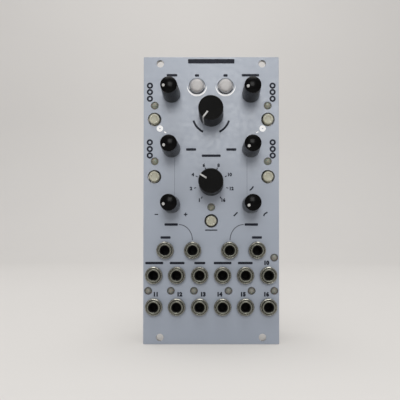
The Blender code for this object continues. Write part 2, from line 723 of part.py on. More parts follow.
def lamp_mesh():
    """Round lamp: a domed lens in the panel's hole and two leads that reach the board."""
    radius = LAMP_DIAMETER / 2
    base = LAMP_PROUD - LAMP_LENGTH
    outline = []
    for step in range(LAMP_DOME_STEPS + 1):
        angle = math.radians(90) * step / LAMP_DOME_STEPS
        outline.append((radius * math.sin(angle), LAMP_PROUD - radius * (1 - math.cos(angle))))
    outline += [(radius, base), (0, base)]
    lens = turned_mesh("lamp", outline, LAMP_SIDES)
    lead_end = CONTROL_BOARD_FRONT + SEAT_GAP - PANEL_FRONT
    leads = boxes_mesh("lamp_leads", [
        ((side * LEAD_PITCH / 2, 0), LEAD_WIDTH, LEAD_WIDTH, lead_end, base + JOIN_DEPTH)
        for side in (-1, 1)
    ])
    mesh = shaped_mesh(lens, [("UNION", leads)])
    mesh.materials.append(finish("lamp_resin", (0.42, 0.43, 0.38), 0.2))
    smooth(mesh)
    return mesh


def make_lamps():
    """The twelve indicator lamps."""
    mesh = lamp_mesh()
    for name, place in LAMP_PLACES.items():
        place_piece(name, mesh, place, PANEL_FRONT)


def jack_mesh():
    """Jack: a housing behind the panel, a bushing through it, a round nut and the plug's bore."""
    bushing_radius_out = JACK_BUSHING_DIAMETER / 2
    nut_radius = NUT_DIAMETER / 2
    nut_front = SEAT_GAP + NUT_THICKNESS
    front = -PANEL_THICKNESS - SEAT_GAP
    rear = CONTROL_BOARD_FRONT + SEAT_GAP - PANEL_FRONT
    body = boxes_mesh("jack", [((0, 0), JACK_BODY_WIDTH, JACK_BODY_HEIGHT, rear, front)])
    turned = turned_mesh("jack_bushing", [
        (0, JACK_BUSHING_PROUD),
        (bushing_radius_out, JACK_BUSHING_PROUD),
        (bushing_radius_out, nut_front),
        (nut_radius - NUT_EDGE, nut_front),
        (nut_radius, nut_front - NUT_EDGE),
        (nut_radius, SEAT_GAP),
        (bushing_radius_out, SEAT_GAP),
        (bushing_radius_out, front - JOIN_DEPTH),
        (0, front - JOIN_DEPTH),
    ], JACK_SIDES)
    bore_radius = JACK_BORE_DIAMETER / 2
    bore_end = rear + JACK_END_WALL
    mouth_radius = JACK_MOUTH_DIAMETER / 2
    bore = turned_mesh("jack_bore", [
        (0, JACK_BUSHING_PROUD + CUT_OVERRUN),
        (mouth_radius + CUT_OVERRUN, JACK_BUSHING_PROUD + CUT_OVERRUN),
        (bore_radius, JACK_BUSHING_PROUD + bore_radius - mouth_radius),
        (bore_radius, bore_end),
        (0, bore_end),
    ], JACK_SIDES)
    mesh = shaped_mesh(body, [("UNION", turned), ("DIFFERENCE", bore)])
    mesh.materials.append(finish("jack_nickel", (0.45, 0.43, 0.38), 0.3, 0.9))
    smooth(mesh)
    return mesh


def make_jacks():
    """The sixteen jacks."""
    mesh = jack_mesh()
    for name, place in jack_places().items():
        place_piece(name, mesh, place, PANEL_FRONT)


def spacer_holes(name, rear, front):
    """Holes in a board for the spacers' screws."""
    radius = around(SPACER_SCREW_DIAMETER / 2 + SEAT_GAP, SPACER_SIDES)
    return rods_mesh(name, [
        (place, radius, rear - CUT_OVERRUN, front + CUT_OVERRUN, SPACER_SIDES)
        for place in SPACER_PLACES.values()
    ])


def board_object(name, rear, front):
    """A bare circuit board on its place in the module."""
    mesh = plate_mesh(name, BOARD_WIDTH, BOARD_HEIGHT, rear, front, BOARD_CORNER)
    mesh.materials.append(finish(name + "_laminate", (0.01, 0.012, 0.014), 0.4))
    return place_piece(name, mesh, (0, BOARD_MIDDLE))


def module_tool(mesh):
    """A tool object placed in the module's own frame."""
    tool = tool_object(mesh)
    tool.parent = module
    return tool


def make_control_board():
    """Board under the controls. The switch housings stand on it, each open for its plunger."""
    board = board_object("control_board", CONTROL_BOARD_REAR, CONTROL_BOARD_FRONT)
    places = [*SMALL_BUTTON_PLACES.values(), *LARGE_BUTTON_PLACES.values()]
    housings = module_tool(boxes_mesh("switch_housings", [
        (place, SWITCH_SIDE, SWITCH_SIDE, CONTROL_BOARD_FRONT - JOIN_DEPTH, SWITCH_FRONT)
        for place in places
    ]))
    combine(board, housings, "UNION")
    well_radius = around(PLUNGER_DIAMETER / 2 + RUNNING_GAP, PLUNGER_SIDES)
    well_floor = SWITCH_FRONT - PLUNGER_ENTRY - BUTTON_TRAVEL - SEAT_GAP
    wells = module_tool(rods_mesh("switch_wells", [
        (place, well_radius, well_floor, SWITCH_FRONT + CUT_OVERRUN, PLUNGER_SIDES)
        for place in places
    ]))
    combine(board, wells, "DIFFERENCE")
    holes = module_tool(
        spacer_holes("control_board_holes", CONTROL_BOARD_REAR, CONTROL_BOARD_FRONT)
    )
    combine(board, holes, "DIFFERENCE")


def board_places(shares):
    """Places on the boards from shares of their width and height."""
    return [
        (across * BOARD_WIDTH, BOARD_MIDDLE + up * BOARD_HEIGHT) for across, up in shares
    ]


def make_main_board():
    """Rear board with its smaller chips and capacitors."""
    board = board_object("main_board", MAIN_BOARD_REAR, MAIN_BOARD_FRONT)
    root = MAIN_BOARD_REAR + JOIN_DEPTH
    chips = module_tool(boxes_mesh("chips", [
        (place, CHIP_WIDTH, CHIP_LENGTH, MAIN_BOARD_REAR - CHIP_THICKNESS, root)
        for place in board_places(CHIP_PLACE_SHARES)
    ]))
    combine(board, chips, "UNION")
    capacitors = module_tool(rods_mesh("capacitors", [
        (
            place, CAPACITOR_DIAMETER / 2, MAIN_BOARD_REAR - CAPACITOR_HEIGHT, root,
            CAPACITOR_SIDES,
        )
        for place in board_places(CAPACITOR_PLACE_SHARES)
    ]))
    combine(board, capacitors, "UNION")
    holes = module_tool(spacer_holes("main_board_holes", MAIN_BOARD_REAR, MAIN_BOARD_FRONT))
    combine(board, holes, "DIFFERENCE")


def make_processor():
    """Square chip on the main board, with its leads as a thin cross under the body."""
    seat = MAIN_BOARD_REAR - SEAT_GAP
    lead_span = PROCESSOR_SIDE + 2 * PROCESSOR_LEAD_REACH
    lead_top = seat - PROCESSOR_LEAD_THICKNESS
    body = boxes_mesh("processor", [
        ((0, 0), PROCESSOR_SIDE, PROCESSOR_SIDE, seat - PROCESSOR_THICKNESS, seat)
    ])
    across = boxes_mesh("processor_leads_across", [
        ((0, 0), lead_span, PROCESSOR_SIDE - 2 * PROCESSOR_LEAD_REACH, lead_top, seat)
    ])
    up = boxes_mesh("processor_leads_up", [
        ((0, 0), PROCESSOR_SIDE - 2 * PROCESSOR_LEAD_REACH, lead_span, lead_top, seat)
    ])
    mesh = shaped_mesh(body, [("UNION", across), ("UNION", up)])
    mesh.materials.append(finish("processor_epoxy", (0.02, 0.02, 0.022), 0.5))
    place_piece("processor", mesh, (0, PROCESSOR_ROW))


def make_board_connectors():
    """Two mated pin connectors between the boards, each with a neck where its halves meet."""
    length = CONNECTOR_PINS * PIN_PITCH
    front = CONTROL_BOARD_REAR - SEAT_GAP
    rear = MAIN_BOARD_FRONT + SEAT_GAP
    neck_front = front - CONNECTOR_BASE_HEIGHT
    neck_rear = neck_front - CONNECTOR_NECK
    base = boxes_mesh("board_connector", [((0, 0), CONNECTOR_WIDTH, length, neck_front, front)])
    neck = boxes_mesh("board_connector_neck", [(
        (0, 0),
        CONNECTOR_WIDTH - 2 * CONNECTOR_NECK,
        length - 2 * CONNECTOR_NECK,
        neck_rear - JOIN_DEPTH,
        neck_front + JOIN_DEPTH,
    )])
    socket = boxes_mesh("board_connector_socket", [
        ((0, 0), CONNECTOR_WIDTH, length, rear, neck_rear)
    ])
    mesh = shaped_mesh(base, [("UNION", neck), ("UNION", socket)])
    mesh.materials.append(finish("connector_plastic", (0.015, 0.015, 0.015), 0.5))
    for name, place in sided("board_connector", CONNECTOR_COLUMN, CONNECTOR_ROW).items():
        place_piece(name, mesh, place)


def make_spacers():
    """Two round spacers between the boards, each with the screw at either end."""
    head_radius = SCREW_HEAD_DIAMETER / 2
    screw_radius = SPACER_SCREW_DIAMETER / 2
    body_radius = SPACER_DIAMETER / 2
    head_seat = CONTROL_BOARD_FRONT + SEAT_GAP
    rear_seat = MAIN_BOARD_REAR - SEAT_GAP
    mesh = turned_mesh("board_spacer", [
        (0, head_seat + SCREW_HEAD_HEIGHT),
        (head_radius - SCREW_HEAD_EDGE, head_seat + SCREW_HEAD_HEIGHT),
        (head_radius, head_seat + SCREW_HEAD_HEIGHT - SCREW_HEAD_EDGE),
        (head_radius, head_seat),
        (screw_radius, head_seat),
        (screw_radius, CONTROL_BOARD_REAR - SEAT_GAP),
        (body_radius, CONTROL_BOARD_REAR - SEAT_GAP),
        (body_radius, MAIN_BOARD_FRONT + SEAT_GAP),
        (screw_radius, MAIN_BOARD_FRONT + SEAT_GAP),
        (screw_radius, rear_seat),
        (head_radius, rear_seat),
        (head_radius, rear_seat - SCREW_HEAD_HEIGHT + SCREW_HEAD_EDGE),
        (head_radius - SCREW_HEAD_EDGE, rear_seat - SCREW_HEAD_HEIGHT),
        (0, rear_seat - SCREW_HEAD_HEIGHT),
    ], SPACER_SIDES)
    mesh.materials.append(finish("spacer_brass", (0.62, 0.60, 0.55), 0.3, 1.0))
    smooth(mesh)
    for name, place in SPACER_PLACES.items():
        place_piece("board_spacer_" + name, mesh, place)


def make_power_header():
    """Boxed pin header for the power ribbon: a walled tray with a key slot and two rows of pins."""
    seat = MAIN_BOARD_REAR - SEAT_GAP
    mouth = seat - HEADER_DEPTH
    floor = seat - HEADER_FLOOR
    pins_span = (HEADER_PINS_ACROSS - 1) * PIN_PITCH
    width = pins_span + 2 * (HEADER_END_ROOM + HEADER_WALL)
    shell = boxes_mesh("power_header", [((0, 0), width, HEADER_HEIGHT, mouth, seat)])
    tray = boxes_mesh("power_header_tray", [(
        (0, 0), width - 2 * HEADER_WALL, HEADER_HEIGHT - 2 * HEADER_WALL, mouth - CUT_OVERRUN, floor
    )])
    key = boxes_mesh("power_header_key", [(
        (0, -HEADER_HEIGHT / 2), HEADER_KEY_WIDTH, 2 * HEADER_WALL + CUT_OVERRUN,
        mouth - CUT_OVERRUN, floor,
    )])
    pin_places = [
        (column * PIN_PITCH - pins_span / 2, (row - 0.5) * PIN_PITCH)
        for column in range(HEADER_PINS_ACROSS)
        for row in range(2)
    ]
    pins = boxes_mesh("power_header_pins", [
        (place, PIN_WIDTH, PIN_WIDTH, mouth + HEADER_PIN_TIP_INSET, floor + JOIN_DEPTH)
        for place in pin_places
    ])
    mesh = shaped_mesh(shell, [("DIFFERENCE", tray), ("DIFFERENCE", key), ("UNION", pins)])
    mesh.materials.append(finish("header_plastic", (0.015, 0.015, 0.016), 0.5))
    place_piece("power_header", mesh, (0, HEADER_ROW))


clear_scene()
parts = new_collection("eurorack_module")
cutters = new_collection("cutters")
module = bpy.data.objects.new("module_frame", None)
module.location = (0, 0, -SCREW_LINE_INSET)
module.rotation_euler = (math.radians(90), 0, 0)
parts.objects.link(module)
make_front_panel()
make_knobs()
make_buttons()
make_lamps()
make_jacks()
make_control_board()
make_main_board()
make_processor()
make_board_connectors()
make_spacers()
make_power_header()
bpy.context.view_layer.update()
print("pieces:", sum(1 for obj in parts.objects if obj.type == "MESH"))
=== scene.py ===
# %% [markdown]
# # Dressing a eurorack module
# The construction model already has every piece at its real size and place. This lesson gives each
# piece its finish: lacquer, ink, moulded plastic, nickel and circuit board. We start by loading that
# model as a fixed frame, and print the size of its panel.

# %% Load the frame
import json
import math

import bmesh
import bpy
from mathutils import Matrix, Vector


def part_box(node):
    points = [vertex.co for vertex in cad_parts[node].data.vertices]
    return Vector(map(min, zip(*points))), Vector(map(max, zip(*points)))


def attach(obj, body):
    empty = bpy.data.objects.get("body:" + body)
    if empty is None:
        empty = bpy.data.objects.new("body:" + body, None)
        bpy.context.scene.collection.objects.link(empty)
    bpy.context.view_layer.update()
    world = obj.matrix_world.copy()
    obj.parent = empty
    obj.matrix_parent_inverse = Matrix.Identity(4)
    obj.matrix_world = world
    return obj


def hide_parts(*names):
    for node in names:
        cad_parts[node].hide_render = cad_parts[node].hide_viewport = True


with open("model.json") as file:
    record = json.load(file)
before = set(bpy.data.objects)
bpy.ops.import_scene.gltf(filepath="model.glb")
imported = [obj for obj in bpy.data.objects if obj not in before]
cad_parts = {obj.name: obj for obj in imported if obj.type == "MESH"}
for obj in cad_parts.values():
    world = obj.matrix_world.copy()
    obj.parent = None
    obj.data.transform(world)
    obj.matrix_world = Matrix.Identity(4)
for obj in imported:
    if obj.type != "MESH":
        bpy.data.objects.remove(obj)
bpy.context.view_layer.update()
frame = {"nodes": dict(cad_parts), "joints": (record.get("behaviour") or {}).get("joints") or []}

# %% [markdown]
# Everything on the module is laid out on its front panel, so we read the panel's faces and edges
# from the frame. X runs across, Z runs up, and the panel faces -Y. A piece is drawn as it is seen
# from the front, with its own Z towards the viewer, and is then stood up on the panel. Its levels
# count from the panel's front face, so what lies behind that face is below zero.

# %% Where things are
QUARTER_TURN = math.radians(90)
panel_low, panel_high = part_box("front_panel")
PANEL_FRONT = panel_low[1]
PANEL_FOOT = panel_low[2]
PANEL_WIDTH = panel_high[0] - panel_low[0]
PANEL_HEIGHT = panel_high[2] - panel_low[2]
PANEL_THICKNESS = panel_high[1] - panel_low[1]


def place_of(node):
    """Across and up, in the row frame, of the middle of a node."""
    low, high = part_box(node)
    return ((low[0] + high[0]) / 2, (low[2] + high[2]) / 2)


def rear_level(node):
    """The level at which a node ends behind the panel."""
    return PANEL_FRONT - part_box(node)[1][1]


def nodes_named(start):
    """The nodes whose names start with some words, in order."""
    return sorted(name for name in frame["nodes"] if name.startswith(start))


def rest_turn(node):
    """A knob's direction at rest, in radians clockwise from straight up, from its joint's limits."""
    joint = next(joint for joint in frame["joints"] if joint["child"] == node)
    low, high = joint["range_deg"]
    return -math.radians(low + high) / 2


def stand_up(piece, place, out=0.0, turn=0.0):
    """Put a piece on the panel's front face, drawn side towards the viewer."""
    piece.location = (place[0], PANEL_FRONT - out, place[1])
    piece.rotation_euler = (QUARTER_TURN, turn, 0)
    return piece


print("panel:", round(PANEL_WIDTH, 4), "by", round(PANEL_HEIGHT, 4), "thick", round(PANEL_THICKNESS, 4))

# %% [markdown]
# A few small helpers make meshes and pieces. `to_mesh` turns a bmesh into a mesh, `joined` puts
# several meshes into one, `add_piece` makes an object ride on the body that carries it and hides the
# CAD nodes it stands for, and `set_pieces` does all of that at the places of several nodes. Wide flat
# faces next to a rounded edge are shaded flat, or the light on them would bend.

# %% Mesh helpers
SHARP_ANGLE = math.radians(40)
ALONG_AXIS = 0.9999
STATIC_BODY = "module"


def to_mesh(name, bm):
    """A mesh from a bmesh, with smooth shading and sharp corners."""
    mesh = bpy.data.meshes.new(name)
    bmesh.ops.recalc_face_normals(bm, faces=bm.faces)
    bm.to_mesh(mesh)
    bm.free()
    mesh.shade_smooth()
    mesh.set_sharp_from_angle(angle=SHARP_ANGLE)
    return mesh


def with_flat_faces(mesh):
    """The mesh with every face that looks straight along an axis shaded flat."""
    for face in mesh.polygons:
        if max(abs(part) for part in face.normal) > ALONG_AXIS:
            face.use_smooth = False
    return mesh


def joined(name, meshes):
    """One mesh from several. Each keeps its own finish, numbered in the order given."""
    bm = bmesh.new()
    for number, mesh in enumerate(meshes):
        first = len(bm.faces)
        bm.from_mesh(mesh)
        bm.faces.ensure_lookup_table()
        for face in bm.faces[first:]:
            face.material_index = number
    made = bpy.data.meshes.new(name)
    bm.to_mesh(made)
    bm.free()
    made.set_sharp_from_angle(angle=SHARP_ANGLE)
    return made


def applied(piece):
    """The piece's mesh with its modifiers applied. The piece itself is removed."""
    graph = bpy.context.evaluated_depsgraph_get()
    mesh = bpy.data.meshes.new_from_object(piece.evaluated_get(graph))
    mesh.name = piece.name
    bpy.data.objects.remove(piece)
    return mesh


def to_object(name, data, *finishes):
    """An object in the scene from its data, such as a mesh or a curve, with its finishes."""
    piece = bpy.data.objects.new(name, data)
    bpy.context.scene.collection.objects.link(piece)
    for finish in finishes:
        data.materials.append(finish)
    return piece


def add_piece(piece, body=STATIC_BODY, replaces=()):
    """Hang a finished piece on its body."""
    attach(piece, body)
    if replaces:
        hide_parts(*replaces)
    return piece


def set_piece(node, ending, mesh, finishes, body=STATIC_BODY, turn=0.0, replaces=True):
    """Stand a copy of a mesh at a node's place. It stands for that node, or only adds to it."""
    piece = stand_up(to_object(node + ending, mesh.copy(), *finishes), place_of(node), turn=turn)
    add_piece(piece, body, [node] if replaces else [])


def set_pieces(nodes, ending, mesh, finishes, slot, moving=False):
    """The same shape at each of these nodes, on the static body or, if moving, on the node's own."""
    for node in nodes:
        set_piece(node, ending, mesh, finishes, node if moving else STATIC_BODY)
    print(slot + ":", len(nodes), "pieces of", len(mesh.polygons), "faces")


# %% [markdown]
# Most round pieces here were turned on a lathe or moulded as if they had been: we draw half of the
# section and spin it. Corners in a drawn section are perfectly sharp, so `eased` first replaces each
# one by a small arc. That one step is what makes the highlights believable. No arc takes quite half
# of a side, so two arcs never meet.

# %% Turning a section
EASE_STEPS = 3
SIDE_PER_CUT = 2.2
SAME_POINT = 0.0000005


def eased(outline, rounding):
    """The outline with each inner corner replaced by a small arc."""
    points = [Vector(point) for point in outline]
    soft = [points[0]]
    for before, corner, after in zip(points, points[1:], points[2:]):
        into, away = before - corner, after - corner
        cut = min(rounding, into.length / SIDE_PER_CUT, away.length / SIDE_PER_CUT)
        start, end = corner + into.normalized() * cut, corner + away.normalized() * cut
        for step in range(EASE_STEPS + 1):
            share = step / EASE_STEPS
            soft.append(start.lerp(corner, share).lerp(corner.lerp(end, share), share))
    return soft + [points[-1]]


def turned(name, outline, sides, rounding):
    """Spin a section of (radius, level) points about Z."""
    bm = bmesh.new()
    line = [bm.verts.new((point[0], 0, point[1])) for point in eased(outline, rounding)]
    edges = [bm.edges.new(pair) for pair in zip(line, line[1:])]
    bmesh.ops.spin(
        bm, geom=line + edges, cent=(0, 0, 0), axis=(0, 0, 1), angle=math.tau, steps=sides,
        use_merge=True,
    )
    bmesh.ops.remove_doubles(bm, verts=bm.verts, dist=SAME_POINT)
    return to_mesh(name, bm)


# %% [markdown]
# Flat things, such as the panel and its printing, start as 2D curves. A closed loop fills itself and
# a loop inside another becomes a hole, so forty-seven drilled holes are forty-seven circles, and no
# Boolean is needed. `extrude` gives the thickness and a tiny `bevel_depth` breaks the edges.

# %% Cutting flat shapes
def circle(place, radius, points=48):
    """Points round a circle."""
    turns = [math.tau * step / points for step in range(points)]
    return [
        (place[0] + radius * math.cos(turn), place[1] + radius * math.sin(turn)) for turn in turns
    ]


def arc(place, radius, start, end, steps=16):
    """Points between two directions, in degrees clockwise from straight up."""
    turns = [math.radians(start + (end - start) * step / steps) for step in range(steps + 1)]
    return [
        (place[0] + radius * math.sin(turn), place[1] + radius * math.cos(turn)) for turn in turns
    ]


def rounded_box(place, width, height, corner, points=5):
    """Points round a rectangle with round corners."""
    outline = []
    for quarter, (side, end) in enumerate(((1, 1), (-1, 1), (-1, -1), (1, -1))):
        across = place[0] + side * (width / 2 - corner)
        up = place[1] + end * (height / 2 - corner)
        for step in range(points):
            turn = QUARTER_TURN * (quarter + step / (points - 1))
            outline.append((across + corner * math.cos(turn), up + corner * math.sin(turn)))
    return outline


def cut_from_sheet(name, loops, thickness, edge=0.0):
    """A flat sheet filled inside its loops. Its middle plane is at level zero."""
    drawing = bpy.data.curves.new(name, "CURVE")
    drawing.dimensions = "2D"
    drawing.fill_mode = "BOTH"
    drawing.extrude = thickness / 2 - edge
    drawing.bevel_depth = edge
    drawing.bevel_resolution = 1
    drawing.offset = -edge
    for loop in loops:
        spline = drawing.splines.new("POLY")
        spline.points.add(len(loop) - 1)
        for point, (across, up) in zip(spline.points, loop):
            point.co = (across, up, 0, 1)
        spline.use_cyclic_u = True
    bm = bmesh.new()
    bm.from_mesh(applied(to_object(name, drawing)))
    bmesh.ops.remove_doubles(bm, verts=bm.verts, dist=SAME_POINT)
    return with_flat_faces(to_mesh(name, bm))


# %% [markdown]
# Boxes with broken edges make the housings behind the panel. A bevel on every edge is the whole
# trick, and its width follows the smallest side so that thin tabs stay thin.

# %% Boxes with broken edges
def break_edges(bm, edges, width):
    """Round these edges off in two steps."""
    bmesh.ops.bevel(
        bm, geom=list(edges), offset=width, segments=2, profile=0.5, affect="EDGES"
    )


def add_block(bm, low, high):
    """Add a box between two corners to a bmesh."""
    made = bmesh.ops.create_cube(bm, size=1.0)["verts"]
    size = [end - start for start, end in zip(low, high)]
    middle = [(end + start) / 2 for start, end in zip(low, high)]
    bmesh.ops.scale(bm, verts=made, vec=size)
    bmesh.ops.translate(bm, verts=made, vec=middle)
    return made


def blocks(name, corners, edge):
    """A mesh of boxes, each between two corners, with their edges broken."""
    bm = bmesh.new()
    for low, high in corners:
        made = add_block(bm, low, high)
        smallest = min(end - start for start, end in zip(low, high))
        around = {item for vert in made for item in vert.link_edges}
        break_edges(bm, around, min(edge, smallest / 4))
    return with_flat_faces(to_mesh(name, bm))


def posts(name, places, radius, low, high, sides):
    """A mesh of upright round posts at several places."""
    bm = bmesh.new()
    for place in places:
        made = bmesh.ops.create_cone(
            bm, cap_ends=True, segments=sides, radius1=radius, radius2=radius, depth=high - low
        )["verts"]
        bmesh.ops.translate(bm, verts=made, vec=(place[0], place[1], (low + high) / 2))
        rims = {edge for vert in made for edge in vert.link_edges if edge.calc_length() < radius}
        break_edges(bm, rims, radius / 8)
    return with_flat_faces(to_mesh(name, bm))


# %% [markdown]
# A finish is never one flat colour. `add_node` is a short way to write shader nodes, `patches` is a
# noise of a real size in metres, and `plain_finish` uses them the way most plastics and paints need:
# a slow drift in colour, a finer change in gloss, and a relief too small to see as shape. Most of a
# noise lies between 0.3 and 0.7, so that is the range that we spread over our colours.

# %% Finish helpers
NOISE_LOW = 0.3
NOISE_HIGH = 0.7


def add_node(tree, kind, settings=None, inputs=None):
    """Add a shader node. An input given as a socket is linked to it."""
    node = tree.nodes.new(kind)
    for name, value in (settings or {}).items():
        setattr(node, name, value)
    for name, value in (inputs or {}).items():
        if isinstance(value, bpy.types.NodeSocket):
            tree.links.new(value, node.inputs[name])
        else:
            node.inputs[name].default_value = value
    return node


def worked_out(tree, operation, first, second):
    """One step of arithmetic on two values."""
    return add_node(
        tree, "ShaderNodeMath", {"operation": operation}, {0: first, 1: second}
    ).outputs["Value"]


def patches(tree, size, detail=2.0, stretch=(1, 1, 1)):
    """Noise whose patches are about this many metres across, stretched along an axis if asked."""
    here = add_node(tree, "ShaderNodeTexCoord").outputs["Object"]
    scaled = add_node(
        tree, "ShaderNodeMapping", inputs={"Vector": here, "Scale": [1 / part for part in stretch]}
    )
    cloud = add_node(
        tree, "ShaderNodeTexNoise",
        inputs={"Vector": scaled.outputs["Vector"], "Scale": 1 / size, "Detail": detail},
    )
    return cloud.outputs["Fac"]


# %% Ranges and colours
def ranged(tree, value, low, high, start=NOISE_LOW, end=NOISE_HIGH):
    """Map a value from start..end to low..high."""
    mapped = add_node(
        tree, "ShaderNodeMapRange",
        inputs={"Value": value, "From Min": start, "From Max": end, "To Min": low, "To Max": high},
    )
    return mapped.outputs["Result"]


def toned(tree, share, dark, light, start=NOISE_LOW, end=NOISE_HIGH):
    """A colour between two, by a share."""
    ramp = add_node(tree, "ShaderNodeValToRGB", inputs={"Fac": share})
    first, last = ramp.color_ramp.elements
    first.position, last.position = start, end
    first.color, last.color = (*dark, 1), (*light, 1)
    return ramp.outputs["Color"]


def laid_over(tree, share, under, over):
    """One colour over another, by a share."""
    mix = add_node(tree, "ShaderNodeMix", {"data_type": "RGBA"})
    for number, value in ((0, share), (6, under), (7, over)):
        if isinstance(value, bpy.types.NodeSocket):
            tree.links.new(value, mix.inputs[number])
        else:
            mix.inputs[number].default_value = (*value, 1)
    return mix.outputs[2]


def shaded(colour, factor):
    """A colour made darker or lighter."""
    return tuple(min(1.0, part * factor) for part in colour)


# %% From nodes to a finish
def new_finish(name, sockets):
    """A material whose shader has these fixed values."""
    finish = bpy.data.materials.new(name)
    finish.use_nodes = True
    shader = finish.node_tree.nodes["Principled BSDF"]
    for socket, value in sockets.items():
        shader.inputs[socket].default_value = value
    return finish, finish.node_tree, shader


def connect(tree, shader, tone, gloss, height, depth):
    """Give a shader its colour, its gloss and a relief of this depth, in metres."""
    bump = add_node(
        tree, "ShaderNodeBump", inputs={"Height": height, "Distance": depth, "Strength": 1.0}
    )
    tree.links.new(tone, shader.inputs["Base Color"])
    tree.links.new(gloss, shader.inputs["Roughness"])
    tree.links.new(bump.outputs["Normal"], shader.inputs["Normal"])


# %% [markdown]
# Some edges are made paler. On the black plastics that is wear where hands and sleeves touch. On the
# cream buttons it is a painted highlight, and on the nickel it is partly wear and partly a painted
# highlight. `Pointiness` is above a half where a surface bends outwards, so it finds those edges, and a
# share of the paler tone is laid over them.

# %% The plain finish
WORN_AND_LIT_SHARE = 0.55
WORN_AND_LIT_FROM = 0.53
WORN_AND_LIT_TO = 0.62
GRAIN_DETAIL = 3.0
GLOSSIER = 0.05
DULLER = 0.07


def plain_finish(
    name, colour, roughness, metallic=0.0, drift=0.06, patch=0.006, grain=0.00025,
    depth=0.000004, worn_and_lit_edge=None, sockets=None,
):
    """A solid finish with drifting colour and gloss, a fine grain and, if asked, paler edges."""
    finish, tree, shader = new_finish(name, {"Metallic": metallic, **(sockets or {})})
    tone = toned(tree, patches(tree, patch), shaded(colour, 1 - drift), shaded(colour, 1 + drift))
    # The paler edge tone is wear on some parts and a painted highlight on others.
    if worn_and_lit_edge:
        edge = add_node(tree, "ShaderNodeNewGeometry").outputs["Pointiness"]
        worn_and_lit_share = ranged(tree, edge, 0.0, WORN_AND_LIT_SHARE, WORN_AND_LIT_FROM, WORN_AND_LIT_TO)
        tone = laid_over(tree, worn_and_lit_share, tone, worn_and_lit_edge)
    fine = patches(tree, grain, GRAIN_DETAIL)
    gloss = ranged(tree, fine, roughness - GLOSSIER, roughness + DULLER)
    connect(tree, shader, tone, gloss, fine, depth)
    return finish


# %% [markdown]
# The front panel is sheet aluminium under a blue-grey lacquer. Lacquer settles in a faint orange
# peel, and dust leaves tiny pale specks. The back and the cut edges stay bare: a noise stretched
# through the sheet gives the edges the fine lines that a cutter leaves, and the back a fine grain.

# %% Panel finishes
LACQUER = (0.292, 0.327, 0.391)
LACQUER_ROUGHNESS = (0.36, 0.50)
LACQUER_DRIFT = 0.03
DRIFT_SIZE = 0.03
SPECK_SIZE = 0.0009
SPECK_RANGE = (0.62, 0.74)
SPECK_SHARE = 0.10
SPECK_PALER = 1.35
GLOSS_PATCH = 0.002
PEEL_SIZE = 0.0007
PEEL_DEPTH = 0.000006
BARE_METAL = (0.62, 0.62, 0.62)
BARE_ROUGHNESS = (0.30, 0.50)
BARE_TONES = (0.88, 1.08)
CUTTER_LINE = 0.00018
CUTTER_STRETCH = (1, 1, 60)
CUTTER_DEPTH = 0.000004


def lacquer_finish():
    """Semi-gloss blue-grey lacquer with orange peel, pale specks and a gloss that varies a little."""
    finish, tree, shader = new_finish("panel_lacquer", {"Specular IOR Level": 0.8})
    dark, light = shaded(LACQUER, 1 - LACQUER_DRIFT), shaded(LACQUER, 1 + LACQUER_DRIFT)
    tone = toned(tree, patches(tree, DRIFT_SIZE), dark, light)
    specks = ranged(tree, patches(tree, SPECK_SIZE, detail=4.0), 0.0, SPECK_SHARE, *SPECK_RANGE)
    tone = laid_over(tree, specks, tone, shaded(LACQUER, SPECK_PALER))
    gloss = ranged(tree, patches(tree, GLOSS_PATCH, 4.0, stretch=(1, 1, 6)), *LACQUER_ROUGHNESS)
    connect(tree, shader, tone, gloss, patches(tree, PEEL_SIZE, detail=1.0), PEEL_DEPTH)
    return finish


def bare_finish():
    """Bare aluminium: lines through the thickness on cut edges, and a fine grain on the back."""
    finish, tree, shader = new_finish("bare_aluminium", {"Metallic": 1.0})
    lines = patches(tree, CUTTER_LINE, 3.0, CUTTER_STRETCH)
    tone = toned(tree, lines, *[shaded(BARE_METAL, factor) for factor in BARE_TONES])
    connect(tree, shader, tone, ranged(tree, lines, *BARE_ROUGHNESS), lines, CUTTER_DEPTH)
    return finish


panel_lacquer = lacquer_finish()
bare_aluminium = bare_finish()
print("finishes:", panel_lacquer.name, bare_aluminium.name)

# %% [markdown]
# Now the panel itself. The holes are read from the pieces that pass through them, so each is centred
# on its knob, lamp, button or jack. After the sheet is cut, faces that look forward get lacquer and
# the rest bare metal, which is a matter of reading each face's normal.

# %% Cut the panel
SCREW_COLUMN = 0.02286
SCREW_INSET = 0.003
SCREW_HOLE_RADIUS = 0.00165
PANEL_CORNER_RADIUS = 0.0004
PANEL_EDGE = 0.00012
LOOKS_FORWARD = 0.3
HOLE_RADII = {
    "slim_knob_": 0.0023,
    "large_knob_": 0.00395,
    "side_button_": 0.0030,
    "centre_button": 0.0030,
    "large_button_": 0.0036,
    "lamp_": 0.00175,
    "jack_": 0.00325,
}


def screw_places():
    """The four screw holes, as across and up in the row frame."""
    rows = (PANEL_FOOT + SCREW_INSET, PANEL_FOOT + PANEL_HEIGHT - SCREW_INSET)
    return [(side * SCREW_COLUMN, row) for row in rows for side in (-1, 1)]


def make_panel():
    """The drilled sheet with its two finishes."""
    middle = place_of("front_panel")
    loops = [rounded_box(middle, PANEL_WIDTH, PANEL_HEIGHT, PANEL_CORNER_RADIUS)]
    loops += [circle(place, SCREW_HOLE_RADIUS) for place in screw_places()]
    for start, radius in HOLE_RADII.items():
        loops += [circle(place_of(node), radius) for node in nodes_named(start)]
    sheet = cut_from_sheet("panel_sheet", loops, PANEL_THICKNESS, PANEL_EDGE)
    for face in sheet.polygons:
        face.material_index = 0 if face.normal.z > LOOKS_FORWARD else 1
    piece = to_object("panel_sheet", sheet, panel_lacquer, bare_aluminium)
    stand_up(piece, (0, 0), -PANEL_THICKNESS / 2)
    add_piece(piece, replaces=["front_panel"])
    print("panel:", len(loops) - 1, "holes,", len(sheet.polygons), "faces")


make_panel()

